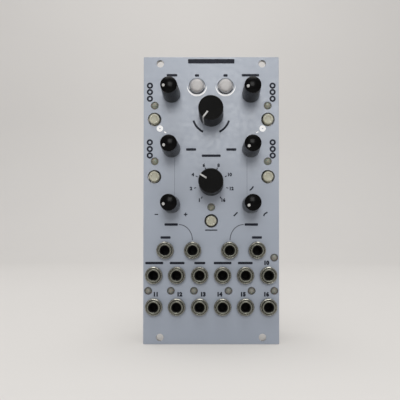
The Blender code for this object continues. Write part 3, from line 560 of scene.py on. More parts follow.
# %% [markdown]
# The printing is screen-printed ink, a film a few hundredths of a millimetre thick. We cut it from a
# sheet too, and set it just proud of the lacquer. Headings are plain bars, the dial has ticks and
# numbers, and each jack of the lower row has a number. All of one colour is one mesh.

# %% Ink finishes
INK_THICKNESS = 0.00003
INK_LEVEL = INK_THICKNESS * 0.55
INK_GRAIN = 0.0001
INK_DEPTH = 0.000002


def ink_finish(name, colour, roughness, drift, patch=0.001, sockets=None):
    """Printed ink, smoother than any plastic."""
    return plain_finish(
        name, colour, roughness, drift=drift, patch=patch, grain=INK_GRAIN, depth=INK_DEPTH,
        sockets=sockets,
    )


dark_sockets = {"Specular IOR Level": 0.15}
ink_dark = ink_finish("ink_dark", (0.012, 0.014, 0.023), 0.55, 0.25, 0.0015, dark_sockets)
ink_grey = ink_finish("ink_grey", (0.075, 0.082, 0.10), 0.5, 0.15)
ink_white = ink_finish("ink_white", (0.93, 0.93, 0.93), 0.5, 0.04)

# %% [markdown]
# Four kinds of mark make up nearly all of the printing: a bar, a ring, part of a ring and a stroke
# along a line. Each returns loops for the sheet cutter, in the row frame. Heights are given from the
# panel's foot, the way a panel drawing gives them.

# %% Kinds of mark
BAR_CORNER = 0.0003


def on_panel(across, height):
    """A place from its distance across and its height above the panel's foot."""
    return (across, PANEL_FOOT + height)


def bar(place, width, height, turn=0.0):
    """A bar with slightly round corners, turned clockwise about its middle."""
    corner = min(BAR_CORNER, width / 3, height / 3)
    cos, sin = math.cos(turn), math.sin(turn)
    return [
        (place[0] + x * cos + y * sin, place[1] - x * sin + y * cos)
        for x, y in rounded_box((0, 0), width, height, corner, points=3)
    ]


def ring(place, outer, inner):
    """A flat ring as two loops."""
    return [circle(place, outer, points=32), circle(place, inner, points=24)]


def band(place, inner, outer, start, end):
    """Part of a ring between two directions."""
    return arc(place, outer, start, end) + arc(place, inner, start, end)[::-1]


def stroke(points, width):
    """A line of constant width along a few points."""
    line = [Vector(point) for point in points]
    left, right = [], []
    for number, point in enumerate(line):
        before = line[max(number - 1, 0)]
        after = line[min(number + 1, len(line) - 1)]
        along = (after - before).normalized()
        side = Vector((-along.y, along.x)) * width / 2
        left.append(tuple(point + side))
        right.append(tuple(point - side))
    return left + right[::-1]


# %% [markdown]
# The dial's ticks are worked out from the place of the lower large knob, and the curved bars from the
# upper one. The title bar, the headings and the rings have places of their own, as on a drawing.

# %% Place the marks
TITLE_HEIGHT = 0.1266
TITLE_SIZE = (0.0208, 0.0020)
HEADING_HEIGHT = 0.0011
HEADINGS = (
    # across, height above the foot, width
    (-0.0176, 0.1203, 0.0048),
    (0.0176, 0.1203, 0.0078),
    (-0.0064, 0.1202, 0.0019),
    (0.0064, 0.1202, 0.0019),
    (-0.0090, 0.0869, 0.0045),
    (0.0090, 0.0869, 0.0045),
    (0.0, 0.0841, 0.0085),
    (-0.0179, 0.0533, 0.0060),
    (0.0179, 0.0533, 0.0060),
    (-0.0204, 0.0475, 0.0045),
    (0.0204, 0.0475, 0.0045),
    (-0.0254, 0.0361, 0.0080),
    (-0.0152, 0.0361, 0.0066),
    (-0.0051, 0.0361, 0.0049),
    (0.0051, 0.0361, 0.0079),
    (0.0152, 0.0361, 0.0066),
)
NOTE_PLACE = (0.0, 0.0508)
NOTE_SIZE = (0.0055, 0.0005)
DIAL_MARKS = ("1", "2", "4", "6", "8", "10", "12", "16")
DIAL_SWEEP = 145
DIAL_TICK = (0.0069, 0.0079, 0.0004)
DIAL_NUMBER_RADII = (0.0089 * 1.04, 0.0089)
ARC_RADIUS = 0.0083
ARC_HEIGHT = 0.0009
ARC_SPAN = (107, 154)
RING_RADII = (0.0014, 0.0006)
RING_COLUMN = 0.0275
RING_HEIGHTS = (0.1156, 0.1127, 0.1097, 0.0901, 0.0871, 0.0842)


def dial_marks():
    """Ticks round the lower large knob, and the place of each number, a little wider than high."""
    middle = place_of("large_knob_lower")
    near, far, width = DIAL_TICK
    wide, high = DIAL_NUMBER_RADII
    ticks, places = [], []
    for number in range(len(DIAL_MARKS)):
        turn = math.radians(-DIAL_SWEEP + 2 * DIAL_SWEEP * number / (len(DIAL_MARKS) - 1))
        reach = (near + far) / 2
        spot = (middle[0] + reach * math.sin(turn), middle[1] + reach * math.cos(turn))
        ticks.append(bar(spot, width, far - near, turn))
        places.append((middle[0] + wide * math.sin(turn), middle[1] + high * math.cos(turn)))
    return ticks, places


def curved_bars():
    """The bars that follow the upper large knob on either side."""
    middle = place_of("large_knob_upper")
    inner, outer = ARC_RADIUS - ARC_HEIGHT / 2, ARC_RADIUS + ARC_HEIGHT / 2
    start, end = ARC_SPAN
    return [band(middle, inner, outer, side * start, side * end) for side in (-1, 1)]


def range_rings():
    """Three rings beside each side button's lamp."""
    loops = []
    for height in RING_HEIGHTS:
        for side in (-1, 1):
            loops += ring(on_panel(side * RING_COLUMN, height), *RING_RADII)
    return loops


# %% [markdown]
# The lower slim knobs have small signs beside them: minus and plus on the left, and little slopes on
# the right. A slope is a stroke through a few points. Thin grey lines lead from two headings to the
# jacks that they belong to. Each starts level and bends down through a quarter of an oval.

# %% Signs and lead lines
SIGN_HEIGHT = 0.0578
MINUS_ACROSS = -0.0245
MINUS_SIZE = (0.0016, 0.00045)
PLUS_ACROSS = -0.0114
PLUS_ARM = 0.0008
PLUS_HALF_WIDTH = 0.00024
SLOPE_SIZE = 0.0017
SLOPE_WIDTH = 0.0006
SLOPE_STEPS = 6
SLOPES = (
    # across, height above the foot, bend
    (0.0109, 0.0579, 1.0),
    (0.0243, 0.0579, 0.4),
    (0.0180, 0.0695, 1.6),
)
LEAD_START = (0.0145, 0.0533)
LEAD_END = (0.0084, 0.0463)
LEAD_WIDTH = 0.0004
LEAD_STEPS = 12


def slope(place, bend):
    """A small slope that rises to the right."""
    shares = [step / SLOPE_STEPS for step in range(SLOPE_STEPS + 1)]
    return stroke([
        (place[0] + SLOPE_SIZE * (share - 0.5), place[1] + SLOPE_SIZE * (share ** bend - 0.5))
        for share in shares
    ], SLOPE_WIDTH)


def plus(place):
    """A cross with four equal arms, drawn round one corner after another."""
    arm, half = PLUS_ARM, PLUS_HALF_WIDTH
    cross = []
    for number, (x, y) in enumerate(((1, 1), (-1, 1), (-1, -1), (1, -1))):
        tips = [(x * half, y * arm), (x * half, y * half), (x * arm, y * half)]
        cross += tips[::-1] if number % 2 == 0 else tips
    return [(place[0] + x, place[1] + y) for x, y in cross]


def signs():
    """Minus, plus and slopes."""
    loops = [bar(on_panel(MINUS_ACROSS, SIGN_HEIGHT), *MINUS_SIZE)]
    loops.append(plus(on_panel(PLUS_ACROSS, SIGN_HEIGHT)))
    loops += [slope(on_panel(across, height), bend) for across, height, bend in SLOPES]
    return loops


def lead_lines():
    """Lines from two headings down to the inner jacks of the upper row."""
    loops = []
    start, end = on_panel(*LEAD_START), on_panel(*LEAD_END)
    for side in (-1, 1):
        points = []
        for step in range(LEAD_STEPS + 1):
            turn = QUARTER_TURN * step / LEAD_STEPS
            across = end[0] + (start[0] - end[0]) * (1 - math.sin(turn))
            points.append((side * across, end[1] + (start[1] - end[1]) * math.cos(turn)))
        loops.append(stroke(points, LEAD_WIDTH))
    return loops


# %% [markdown]
# Numbers come from a text object in Blender's own plain font. `offset` swells the strokes to a bold
# weight, because thin strokes vanish in print this small. The upper rows of jacks have bars, so their
# numbers would be one to nine, and the count that shows goes on at ten. The dial's numbers are steps.

# %% Numbers
DIAL_NUMBER_SIZE = 0.0020
DIAL_NUMBER_WEIGHT = 0.06
JACK_NUMBER_SIZE = 0.0024
JACK_NUMBER_WEIGHT = 0.08
JACK_NUMBER_HEIGHT = 0.0221
JACK_NUMBER_SHIFTS = (0.0007, 0.0011, 0.0014, -0.0014, -0.0011, -0.0009)
MIDDLE_NUMBER_HEIGHT = 0.0361
MIDDLE_NUMBER_SHIFT = -0.0008
FIRST_JACK_NUMBER = 10


def number_mesh(text, place, size, weight):
    """A bold number cut from the ink sheet, centred on a place."""
    words = bpy.data.curves.new("number", "FONT")
    words.body = text
    words.size = size
    words.offset = size * weight
    words.align_x = "CENTER"
    words.align_y = "CENTER"
    words.extrude = INK_THICKNESS / 2
    words.resolution_u = 3
    mesh = applied(to_object("number", words))
    mesh.transform(Matrix.Translation((*place, 0)))
    return mesh


def jack_numbers():
    """Numbers over the last jack of the middle row and over the lower row of jacks."""
    last = place_of("jack_middle_6")[0] + MIDDLE_NUMBER_SHIFT
    places = [on_panel(last, MIDDLE_NUMBER_HEIGHT)]
    for node, shift in zip(nodes_named("jack_lower_"), JACK_NUMBER_SHIFTS):
        places.append(on_panel(place_of(node)[0] + shift, JACK_NUMBER_HEIGHT))
    return [
        number_mesh(str(number), place, JACK_NUMBER_SIZE, JACK_NUMBER_WEIGHT)
        for number, place in enumerate(places, FIRST_JACK_NUMBER)
    ]


# %% [markdown]
# Then the white and grey marks: a pale crescent drawn flat under each of the two large buttons, a
# disc and a fleck below each upper side button, the two lead lines, and hairlines down the panel
# between the slim knobs.

# %% White and grey marks
CRESCENT_ARCS = (
    # radius, height of the middle above the button's, first direction
    (0.00445, -0.00015, 84),
    (0.00438, 0.0006, 94),
)
DISC_RADIUS = 0.00145
DISC_PLACE = (0.0230, 0.0963)
DISC_MARK_RADIUS = 0.0003
FLECK_PLACE = (0.0206, 0.0946)
FLECK_SIZE = (0.0012, 0.0005)
FLECK_TURN = math.radians(-30)
HAIRLINES = (-0.0164, 0.0160)
HAIRLINE_SPAN = (0.0660, 0.0830)
HAIRLINE_WIDTH = 0.0001


def crescent(place):
    """Two arcs that meet in points: the pale crescent below a large button."""
    outer, inner = [
        arc((place[0], place[1] + rise), radius, start, 360 - start, steps=32)
        for radius, rise, start in CRESCENT_ARCS
    ]
    return outer + inner[::-1]


def white_marks():
    """Crescents, discs and flecks."""
    loops = [crescent(place_of(node)) for node in nodes_named("large_button_")]
    for side in (-1, 1):
        disc = on_panel(side * DISC_PLACE[0], DISC_PLACE[1])
        loops += [circle(disc, DISC_RADIUS, points=32), circle(disc, DISC_MARK_RADIUS, points=12)]
        fleck = on_panel(side * FLECK_PLACE[0], FLECK_PLACE[1])
        loops.append(bar(fleck, *FLECK_SIZE, side * FLECK_TURN))
    return loops


def grey_marks():
    """Lead lines and hairlines."""
    low, high = HAIRLINE_SPAN
    middle, length = (low + high) / 2, high - low
    lines = [bar(on_panel(across, middle), HAIRLINE_WIDTH, length) for across in HAIRLINES]
    return lead_lines() + lines


# %% [markdown]
# Now everything is printed, one colour after another, as a screen printer would. The middle of the
# film is set a little over half its thickness out, so that its back just clears the lacquer.

# %% Print the panel
def dark_mesh():
    """Every dark mark and number as one mesh with one finish."""
    dark = [bar(on_panel(0, TITLE_HEIGHT), *TITLE_SIZE), bar(on_panel(*NOTE_PLACE), *NOTE_SIZE)]
    for across, height, width in HEADINGS:
        dark.append(bar(on_panel(across, height), width, HEADING_HEIGHT))
    ticks, places = dial_marks()
    dark += ticks + curved_bars() + range_rings() + signs()
    sheets = [cut_from_sheet("dark", dark, INK_THICKNESS)]
    for text, place in zip(DIAL_MARKS, places):
        sheets.append(number_mesh(text, place, DIAL_NUMBER_SIZE, DIAL_NUMBER_WEIGHT))
    mesh = joined("ink_dark", sheets + jack_numbers())
    for face in mesh.polygons:
        face.material_index = 0
    return mesh


def make_ink():
    """Set every mark just proud of the panel."""
    inks = (
        ("printing_dark", dark_mesh(), ink_dark),
        ("printing_white", cut_from_sheet("white", white_marks(), INK_THICKNESS), ink_white),
        ("printing_grey", cut_from_sheet("grey", grey_marks(), INK_THICKNESS), ink_grey),
    )
    for name, mesh, ink in inks:
        add_piece(stand_up(to_object(name, mesh, ink), (0, 0), INK_LEVEL))
        print(name + ":", len(mesh.polygons), "faces")


make_ink()

# %% [markdown]
# The slim knobs are injection-moulded black plastic with a slight draft, so that they leave the
# mould. The top is a dome, so that each knob shows a soft highlight in another place. The top is
# painted a deeper black than the sides, which is painted shade. The dot is a white plastic peg pressed
# into the dome at right angles.

# %% Slim knobs
SLIM_HEIGHT = 0.0124
SLIM_TOP_RADIUS = 0.00355
SLIM_BASE_RADIUS = 0.00395
SLIM_CROWN = 0.0009
SLIM_CROWN_STEPS = 8
SLIM_FOOT_GAP = 0.0004
SLIM_FOOT_BREAK = (0.0002, 0.0003)
SLIM_SHAFT_RADIUS = 0.002
SLIM_SHAFT_PLAY = 0.0003
SLIM_BORE_END = SLIM_FOOT_GAP + 0.001
DOT_RADIUS = 0.00063
DOT_REACH = 0.0022
DOT_SINK = 0.0004
DOT_SHAPE = (
    # share of the radius, height above the knob's top
    (0, 0.00009),
    (0.6, 0.00006),
    (1, 0.00002),
)

# %% Finishes of the slim knobs
gloss_black = plain_finish(
    "gloss_black_plastic", (0.008, 0.008, 0.0088), 0.3, drift=0.15, patch=0.003, grain=0.00035,
    depth=0.0000015, worn_and_lit_edge=(0.014, 0.014, 0.015), sockets={"Specular IOR Level": 0.3},
)
# The top's deeper black is painted shade: the sides' plastic, made darker and less reflective.
shaded_top_black = plain_finish(
    "domed_black_plastic", (0.001, 0.001, 0.0011), 0.2, drift=0.15, patch=0.003, grain=0.00035,
    depth=0.0000015, sockets={"Specular IOR Level": 0.085},
)
white_peg = plain_finish("white_peg_plastic", (0.46, 0.46, 0.45), 0.35, drift=0.03, patch=0.0006)
steel_shaft = plain_finish("steel_shaft", (0.55, 0.55, 0.55), 0.3, metallic=1.0, grain=0.0001)


# %% Shapes of the slim knobs
def dome_level(reach):
    """How high the dome of a slim knob stands at this distance from the axis."""
    return SLIM_HEIGHT - SLIM_CROWN * (reach / SLIM_TOP_RADIUS) ** 2


def slim_knob_mesh():
    """The knob's outside, its underside and its bore."""
    shares = [step / SLIM_CROWN_STEPS for step in range(SLIM_CROWN_STEPS + 1)]
    bore, (inset, rise) = SLIM_SHAFT_RADIUS + SLIM_SHAFT_PLAY, SLIM_FOOT_BREAK
    return turned("slim_knob", [
        *[(SLIM_TOP_RADIUS * share, dome_level(SLIM_TOP_RADIUS * share)) for share in shares],
        (SLIM_BASE_RADIUS, SLIM_FOOT_GAP + rise), (SLIM_BASE_RADIUS - inset, SLIM_FOOT_GAP),
        (bore, SLIM_FOOT_GAP), (bore, SLIM_BORE_END), (0, SLIM_BORE_END),
    ], sides=72, rounding=0.0002)


def dot_mesh():
    """The peg, a little proud of the dome and slightly domed itself, tilted as the dome is there."""
    mesh = turned("dot", [
        *[(DOT_RADIUS * share, level) for share, level in DOT_SHAPE],
        (DOT_RADIUS, -DOT_SINK), (0, -DOT_SINK),
    ], sides=32, rounding=0.00006)
    slope = math.atan(2 * SLIM_CROWN * DOT_REACH / SLIM_TOP_RADIUS ** 2)
    mesh.transform(Matrix.Rotation(-slope, 4, "X"))
    mesh.transform(Matrix.Translation((0, DOT_REACH, dome_level(DOT_REACH))))
    return mesh


# %% [markdown]
# A cap and its shaft turn together, so they are one piece with three finishes. The mark is a piece
# of its own. Both ride on the knob's body, and start in the direction that the joint has at rest.

# %% Put the slim knobs on
LOOKS_UP = 0.8


def shaft_mesh(node, radius, start, sides):
    """A round shaft from inside the knob to the end of its CAD node."""
    end = rear_level(node)
    outline = [(0, start), (radius, start), (radius, end), (0, end)]
    return turned("shaft", outline, sides, rounding=0.0002)


def cap_on_shaft(name, cap, shaft):
    """Cap and shaft as one mesh. The finishes are the cap's side, the shaft and the cap's top."""
    mesh = joined(name, [cap, shaft])
    for face in mesh.polygons:
        if face.material_index == 0 and face.normal.z > LOOKS_UP:
            face.material_index = 2
    return mesh


def set_knobs(nodes, knob, shaft, finishes, mark, ending, paint, slot):
    """Knobs of one kind, each with its mark. The shaft is given as radius, top and sides."""
    for node in nodes:
        cap = cap_on_shaft("cap", knob, shaft_mesh(node, *shaft))
        turn = rest_turn(node)
        set_piece(node, "_cap", cap, finishes, node, turn)
        set_piece(node, ending, mark, [paint], node, turn, replaces=False)
    print(slot + ":", len(nodes), "knobs")


set_knobs(
    nodes_named("slim_knob_"), knob=slim_knob_mesh(), shaft=(SLIM_SHAFT_RADIUS, SLIM_BORE_END, 32),
    finishes=(gloss_black, steel_shaft, shaded_top_black), mark=dot_mesh(), ending="_dot",
    paint=white_peg, slot="slim_knob_plastic",
)

# %% [markdown]
# The large knobs are satin: their skin is spark-textured in the mould, which a fine relief gives. The
# top is a little duller than the side, and it is painted darker and less reflective, which is painted
# shade. The pointer is pale paint that runs over the top, round the edge and down the side. We lay it
# as a strip that follows the knob's section, so it bends with it.

# %% Large knobs
LARGE_HEIGHT = 0.011
LARGE_TOP_RADIUS = 0.00532
LARGE_BASE_RADIUS = 0.00542
LARGE_DISH = 0.0001
LARGE_DISH_MIDDLE = 0.00012
LARGE_DISH_RADIUS = LARGE_TOP_RADIUS * 0.8
LARGE_EDGE = 0.0005
LARGE_FOOT_GAP = 0.0005
LARGE_FOOT_BREAK = 0.0003
LARGE_ROUNDING = 0.0003
LARGE_SHAFT_RADIUS = 0.003
LARGE_SHAFT_PLAY = 0.0001
LARGE_HOLLOW = (0.0042, 0.0018)
LARGE_BORE_END = 0.0022
LARGE_SHAFT_START = 0.0023
POINTER_WIDTH = 0.0007
POINTER_START = 0.0021
POINTER_END = 0.0004
POINTER_PROUD = 0.00004
POINTER_COLUMNS = 6
LARGE_SHOULDER = (
    (LARGE_DISH_RADIUS, LARGE_HEIGHT - LARGE_DISH),
    (LARGE_TOP_RADIUS - LARGE_EDGE * 0.8, LARGE_HEIGHT),
    (LARGE_TOP_RADIUS, LARGE_HEIGHT - LARGE_EDGE),
)

# %% Finishes of the large knobs
satin_black = plain_finish(
    "satin_black_plastic", (0.008, 0.008, 0.008), 0.45, drift=0.12, patch=0.004, grain=0.00016,
    depth=0.000006, worn_and_lit_edge=(0.014, 0.014, 0.014), sockets={"Specular IOR Level": 0.2},
)
# The top's darker, less reflective copy of the side's plastic is painted shade.
shaded_top_satin = plain_finish(
    "satin_top_plastic", (0.006, 0.006, 0.006), 0.5, drift=0.12, patch=0.004, grain=0.00016,
    depth=0.000006, sockets={"Specular IOR Level": 0.03},
)
pointer_paint = plain_finish("pointer_paint", (0.44, 0.44, 0.43), 0.5, drift=0.08, patch=0.0008)


# %% Shapes of the large knobs
def large_knob_mesh():
    """The knob's outside and its hollow underside, which clears the bushing."""
    hollow, roof = LARGE_HOLLOW
    bore = LARGE_SHAFT_RADIUS + LARGE_SHAFT_PLAY
    return turned("large_knob", [
        (0, LARGE_HEIGHT - LARGE_DISH_MIDDLE), *LARGE_SHOULDER,
        (LARGE_BASE_RADIUS, LARGE_FOOT_GAP + LARGE_FOOT_BREAK),
        (LARGE_BASE_RADIUS - LARGE_FOOT_BREAK, LARGE_FOOT_GAP),
        (hollow, LARGE_FOOT_GAP), (hollow, roof), (bore, roof),
        (bore, LARGE_BORE_END), (0, LARGE_BORE_END),
    ], sides=96, rounding=LARGE_ROUNDING)


def pointer_mesh():
    """A strip of constant width that follows the knob's section from the top down its side."""
    section = eased([
        (POINTER_START, LARGE_HEIGHT - LARGE_DISH), *LARGE_SHOULDER,
        (LARGE_BASE_RADIUS, LARGE_FOOT_GAP + POINTER_END),
    ], LARGE_ROUNDING)
    bm = bmesh.new()
    rows = []
    for radius, level in section:
        row = []
        for column in range(POINTER_COLUMNS + 1):
            across = POINTER_WIDTH * (column / POINTER_COLUMNS - 0.5)
            row.append(bm.verts.new((across, math.sqrt(radius ** 2 - across ** 2), level)))
        rows.append(row)
    for upper, lower in zip(rows, rows[1:]):
        for left, right in zip(range(POINTER_COLUMNS), range(1, POINTER_COLUMNS + 1)):
            bm.faces.new((upper[left], lower[left], lower[right], upper[right]))
    strip = to_object("pointer", to_mesh("pointer", bm))
    skin = strip.modifiers.new("Paint", "SOLIDIFY")
    skin.thickness = POINTER_PROUD * 2
    skin.offset = 0
    return applied(strip)


set_knobs(
    nodes_named("large_knob_"), knob=large_knob_mesh(),
    shaft=(LARGE_SHAFT_RADIUS, LARGE_SHAFT_START, 40),
    finishes=(satin_black, steel_shaft, shaded_top_satin), mark=pointer_mesh(), ending="_pointer",
    paint=pointer_paint, slot="large_knob_plastic",
)

# %% [markdown]
# Small buttons are cream plastic caps with a shallow dish for the fingertip, and a paler rim that is
# a painted highlight.
# Cream plastic lets a little light in, so some of the shading is subsurface. The large ones are
# translucent light-grey caps over a darker skirt, and they stand further out of the panel.

# %% Buttons
SMALL_RADIUS = 0.0023
SMALL_PROUD = 0.0009
SMALL_BREAK = 0.0003
SMALL_DISH = (
    # share of the radius, depth below the rim
    (0, 0.00026),
    (0.5, 0.00024),
    (0.62, 0.00004),
)
LARGE_RADIUS = 0.0033
LARGE_PROUD = 0.0015
LARGE_DOME = (
    # share of the radius, depth below the top
    (0, 0),
    (0.5, 0.00006),
    (0.74, 0.00022),
    (0.84, 0.0006),
)
LARGE_DOME_FOOT = 0.0002
SKIRT_HOLE = 0.8
SKIRT_DEPTHS = (0.00075, 0.0008, 0.001)
SKIRT_BREAK = 0.0002
CAP_REAR = -0.0034
PLUNGER_RADIUS = 0.0016

# %% Finishes of the buttons
# The paler edge tone on the rim is a painted highlight.
cream_plastic = plain_finish(
    "cream_plastic", (0.385, 0.377, 0.295), 0.42, drift=0.09, patch=0.0007, grain=0.0003,
    worn_and_lit_edge=(0.80, 0.79, 0.72),
    sockets={"Subsurface Weight": 0.15, "Subsurface Scale": 0.001, "Subsurface Radius": (1, 0.9, 0.7)},
)
clear_cap = plain_finish(
    "translucent_cap", (0.45, 0.435, 0.43), 0.42, drift=0.05, patch=0.0015, grain=0.0003,
    sockets={"Subsurface Weight": 0.35, "Subsurface Scale": 0.002, "Subsurface Radius": (1, 1, 0.95)},
)
cap_skirt = plain_finish("cap_skirt_plastic", (0.27, 0.275, 0.29), 0.35, drift=0.1, patch=0.001)


# %% Shapes of the buttons
def plunger(radius, end):
    """The rear of a cap and the plunger behind it, down to the switch."""
    return [(radius, CAP_REAR), (PLUNGER_RADIUS, CAP_REAR), (PLUNGER_RADIUS, end), (0, end)]


def small_cap_mesh(end):
    """Dished cap, skirt and plunger."""
    return turned("small_cap", [
        *[(SMALL_RADIUS * share, SMALL_PROUD - depth) for share, depth in SMALL_DISH],
        (SMALL_RADIUS - SMALL_BREAK, SMALL_PROUD), (SMALL_RADIUS, SMALL_PROUD - SMALL_BREAK),
        *plunger(SMALL_RADIUS, end),
    ], sides=56, rounding=0.00015)


def large_cap_mesh(end):
    """Domed cap, and the darker skirt and plunger under it."""
    dome = [(LARGE_RADIUS * share, LARGE_PROUD - depth) for share, depth in LARGE_DOME]
    cap = turned(
        "large_cap", [*dome, (dome[-1][0], LARGE_DOME_FOOT), (0, LARGE_DOME_FOOT)],
        sides=64, rounding=0.00025,
    )
    reaches = (LARGE_RADIUS * SKIRT_HOLE, LARGE_RADIUS - SKIRT_BREAK, LARGE_RADIUS)
    rim = [(reach, LARGE_PROUD - depth) for reach, depth in zip(reaches, SKIRT_DEPTHS)]
    skirt = turned(
        "large_skirt", [*rim, *plunger(LARGE_RADIUS, end)], sides=64, rounding=0.0001
    )
    return joined("large_cap", [cap, skirt])


small_buttons = nodes_named("side_button_") + nodes_named("centre_button")
large_buttons = nodes_named("large_button_")
button_end = rear_level(small_buttons[0])
small_cap, large_cap = small_cap_mesh(button_end), large_cap_mesh(button_end)
set_pieces(small_buttons, "_cap", small_cap, [cream_plastic], "small_button_plastic", moving=True)
set_pieces(large_buttons, "_cap", large_cap, [clear_cap, cap_skirt], "large_button_plastic", moving=True)

# %% [markdown]
# An unlit lamp is a bullet of resin with a flange at the panel's hole. Through the lens we see the
# cup that holds the chip as a pale disc. The resin finish darkens towards the lens's own edge: partly
# that cup's darker rim, and partly painted shade from the hole's edge. So the inside needs no mesh.
# Two tinned leads go back to the board. The lamps beside the buttons are smoky, and those beside the
# jacks pale.

# %% Lamps
LAMP_RADIUS = 0.00155
LAMP_PROUD = 0.0005
LAMP_DOME_END = 67.5
LAMP_DOME_STEPS = 6
LAMP_FLANGE_RADIUS = 0.0017
LAMP_FLANGE = (-0.0002, -0.0012)
LAMP_LENGTH = 0.005
CUP_AND_SHADE_SHARE = 0.45
LEAD_PITCH = 0.0014
LEAD_SIDE = 0.0005
LEAD_ROOT = 0.0004

# %% Resin and wire
MOTTLE_SIZE = 0.0006
MOTTLE = 0.25
CLOUD_SIZE = 0.0003
CLOUD_DEPTH = 0.000003
RESIN_ROUGHNESS = (0.32, 0.46)


def resin_finish(name, centre, rim):
    """Unlit resin: one colour in the middle of the lens and another at its rim, partly painted shade."""
    finish, tree, shader = new_finish(
        name, {"Specular IOR Level": 0.4, "Subsurface Weight": 0.2, "Subsurface Scale": 0.0008},
    )
    here = add_node(tree, "ShaderNodeTexCoord").outputs["Object"]
    flat = add_node(
        tree, "ShaderNodeVectorMath", {"operation": "MULTIPLY"}, {0: here, 1: (1, 1, 0)}
    )
    reach = add_node(
        tree, "ShaderNodeVectorMath", {"operation": "LENGTH"}, {0: flat.outputs["Vector"]}
    )
    # Outwards from here the tone darkens: partly the cup's rim, and partly painted shade.
    share = ranged(tree, reach.outputs["Value"], 0, 1, LAMP_RADIUS * CUP_AND_SHADE_SHARE, LAMP_RADIUS)
    drift = ranged(tree, patches(tree, MOTTLE_SIZE), -MOTTLE, MOTTLE)
    tone = toned(tree, worked_out(tree, "ADD", share, drift), centre, rim, start=0.1, end=1.0)
    cloud = patches(tree, CLOUD_SIZE)
    connect(tree, shader, tone, ranged(tree, cloud, *RESIN_ROUGHNESS), cloud, CLOUD_DEPTH)
    return finish


smoky_resin = resin_finish("smoky_resin", (0.22, 0.225, 0.18), (0.19, 0.195, 0.17))
pale_resin = resin_finish("pale_resin", (0.22, 0.22, 0.19), (0.13, 0.13, 0.125))
tinned_wire = plain_finish("tinned_wire", (0.6, 0.6, 0.58), 0.35, metallic=1.0, grain=0.0001)


# %% Shape of the lamps
def lamp_mesh(end):
    """Dome, body with its flange, and two leads."""
    base = LAMP_PROUD - LAMP_LENGTH
    front, rear = LAMP_FLANGE
    middle = (0, LAMP_PROUD - LAMP_RADIUS)
    lens = turned("lens", [
        *arc(middle, LAMP_RADIUS, 0, LAMP_DOME_END, LAMP_DOME_STEPS),
        (LAMP_RADIUS, front), (LAMP_FLANGE_RADIUS, front), (LAMP_FLANGE_RADIUS, rear),
        (LAMP_RADIUS, rear), (LAMP_RADIUS, base), (0, base),
    ], sides=40, rounding=0.00005)
    half, top = LEAD_SIDE / 2, base + LEAD_ROOT
    leads = blocks("leads", [
        ((across - half, -half, end), (across + half, half, top))
        for across in (-LEAD_PITCH / 2, LEAD_PITCH / 2)
    ], edge=0.00006)
    return joined("lamp", [lens, leads])


pale_lamps = nodes_named("lamp_output_") + nodes_named("lamp_side")
smoky_lamps = [node for node in nodes_named("lamp_") if node not in pale_lamps]
lamp = lamp_mesh(rear_level(smoky_lamps[0]))
set_pieces(smoky_lamps, "_lens", lamp, [smoky_resin, tinned_wire], "lamp_resin")
set_pieces(pale_lamps, "_lens", lamp, [pale_resin, tinned_wire], "lamp_resin")

# %% [markdown]
# Each jack shows a threaded bushing with a round knurled nut on it, both nickel-plated and gone a
# little warm with age, round a black moulded bore. The knurl is cut by moving every second column of
# the nut's outer skin inwards. The fine ring that sets nut and bushing apart is a real countersink.

# %% Nut, bushing and bore
BUSHING_RADIUS = 0.00295
BUSHING_PROUD = 0.003
BUSHING_BREAK = 0.00015
BUSHING_WALL = 0.0002
MOUTH_RADIUS = 0.00225
MOUTH_BREAK = 0.0001
THREAD_PITCH = 0.0005
THREAD_DEPTH = 0.00018
THREAD_GROOVES = 9
BORE_RADIUS = 0.0018
BORE_END = -0.0095
BORE_WALL = (0.00015, 0.0001)
BORE_THROAT = 0.0005
LINING_GAP = 0.00002
LINING_DEPTHS = (0.00012, 0.00032, 0.0007)
JACK_FRONT = -0.0023
BUSHING_REAR = JACK_FRONT - 0.0002
THREAD_END = JACK_FRONT + 0.0004
NUT_RADIUS = 0.0039
NUT_FRONT = 0.0023
NUT_REAR = 0.0003
NUT_FRONT_BREAK = (0.0004, 0.00035)
NUT_REAR_BREAK = 0.0002
COUNTERSINK = (
    # out from the bushing, depth below the nut's front
    (0.00008, 0.0006),
    (0.00018, 0.00025),
    (0.00034, 0),
)
KNURL_TEETH = 44
KNURL_DEPTH = 0.00011
KNURL_BAND = 0.00012


# %% Turn and knurl them
def nut_mesh():
    """Round nut: countersunk front, knurled outside, flat back."""
    inset, drop = NUT_FRONT_BREAK
    bore = [(BUSHING_RADIUS + out, NUT_FRONT - depth) for out, depth in COUNTERSINK]
    mesh = turned("nut", [
        *bore, (NUT_RADIUS - inset, NUT_FRONT), (NUT_RADIUS, NUT_FRONT - drop),
        (NUT_RADIUS, NUT_REAR + NUT_REAR_BREAK), (NUT_RADIUS - NUT_REAR_BREAK, NUT_REAR),
        (bore[0][0], NUT_REAR), bore[0],
    ], sides=KNURL_TEETH * 2, rounding=0.00008)
    for vert in mesh.vertices:
        reach = math.hypot(vert.co.x, vert.co.y)
        column = round(math.atan2(vert.co.y, vert.co.x) / math.tau * KNURL_TEETH * 2)
        if reach > NUT_RADIUS - KNURL_BAND and column % 2:
            vert.co.x *= 1 - KNURL_DEPTH / reach
            vert.co.y *= 1 - KNURL_DEPTH / reach
    return mesh


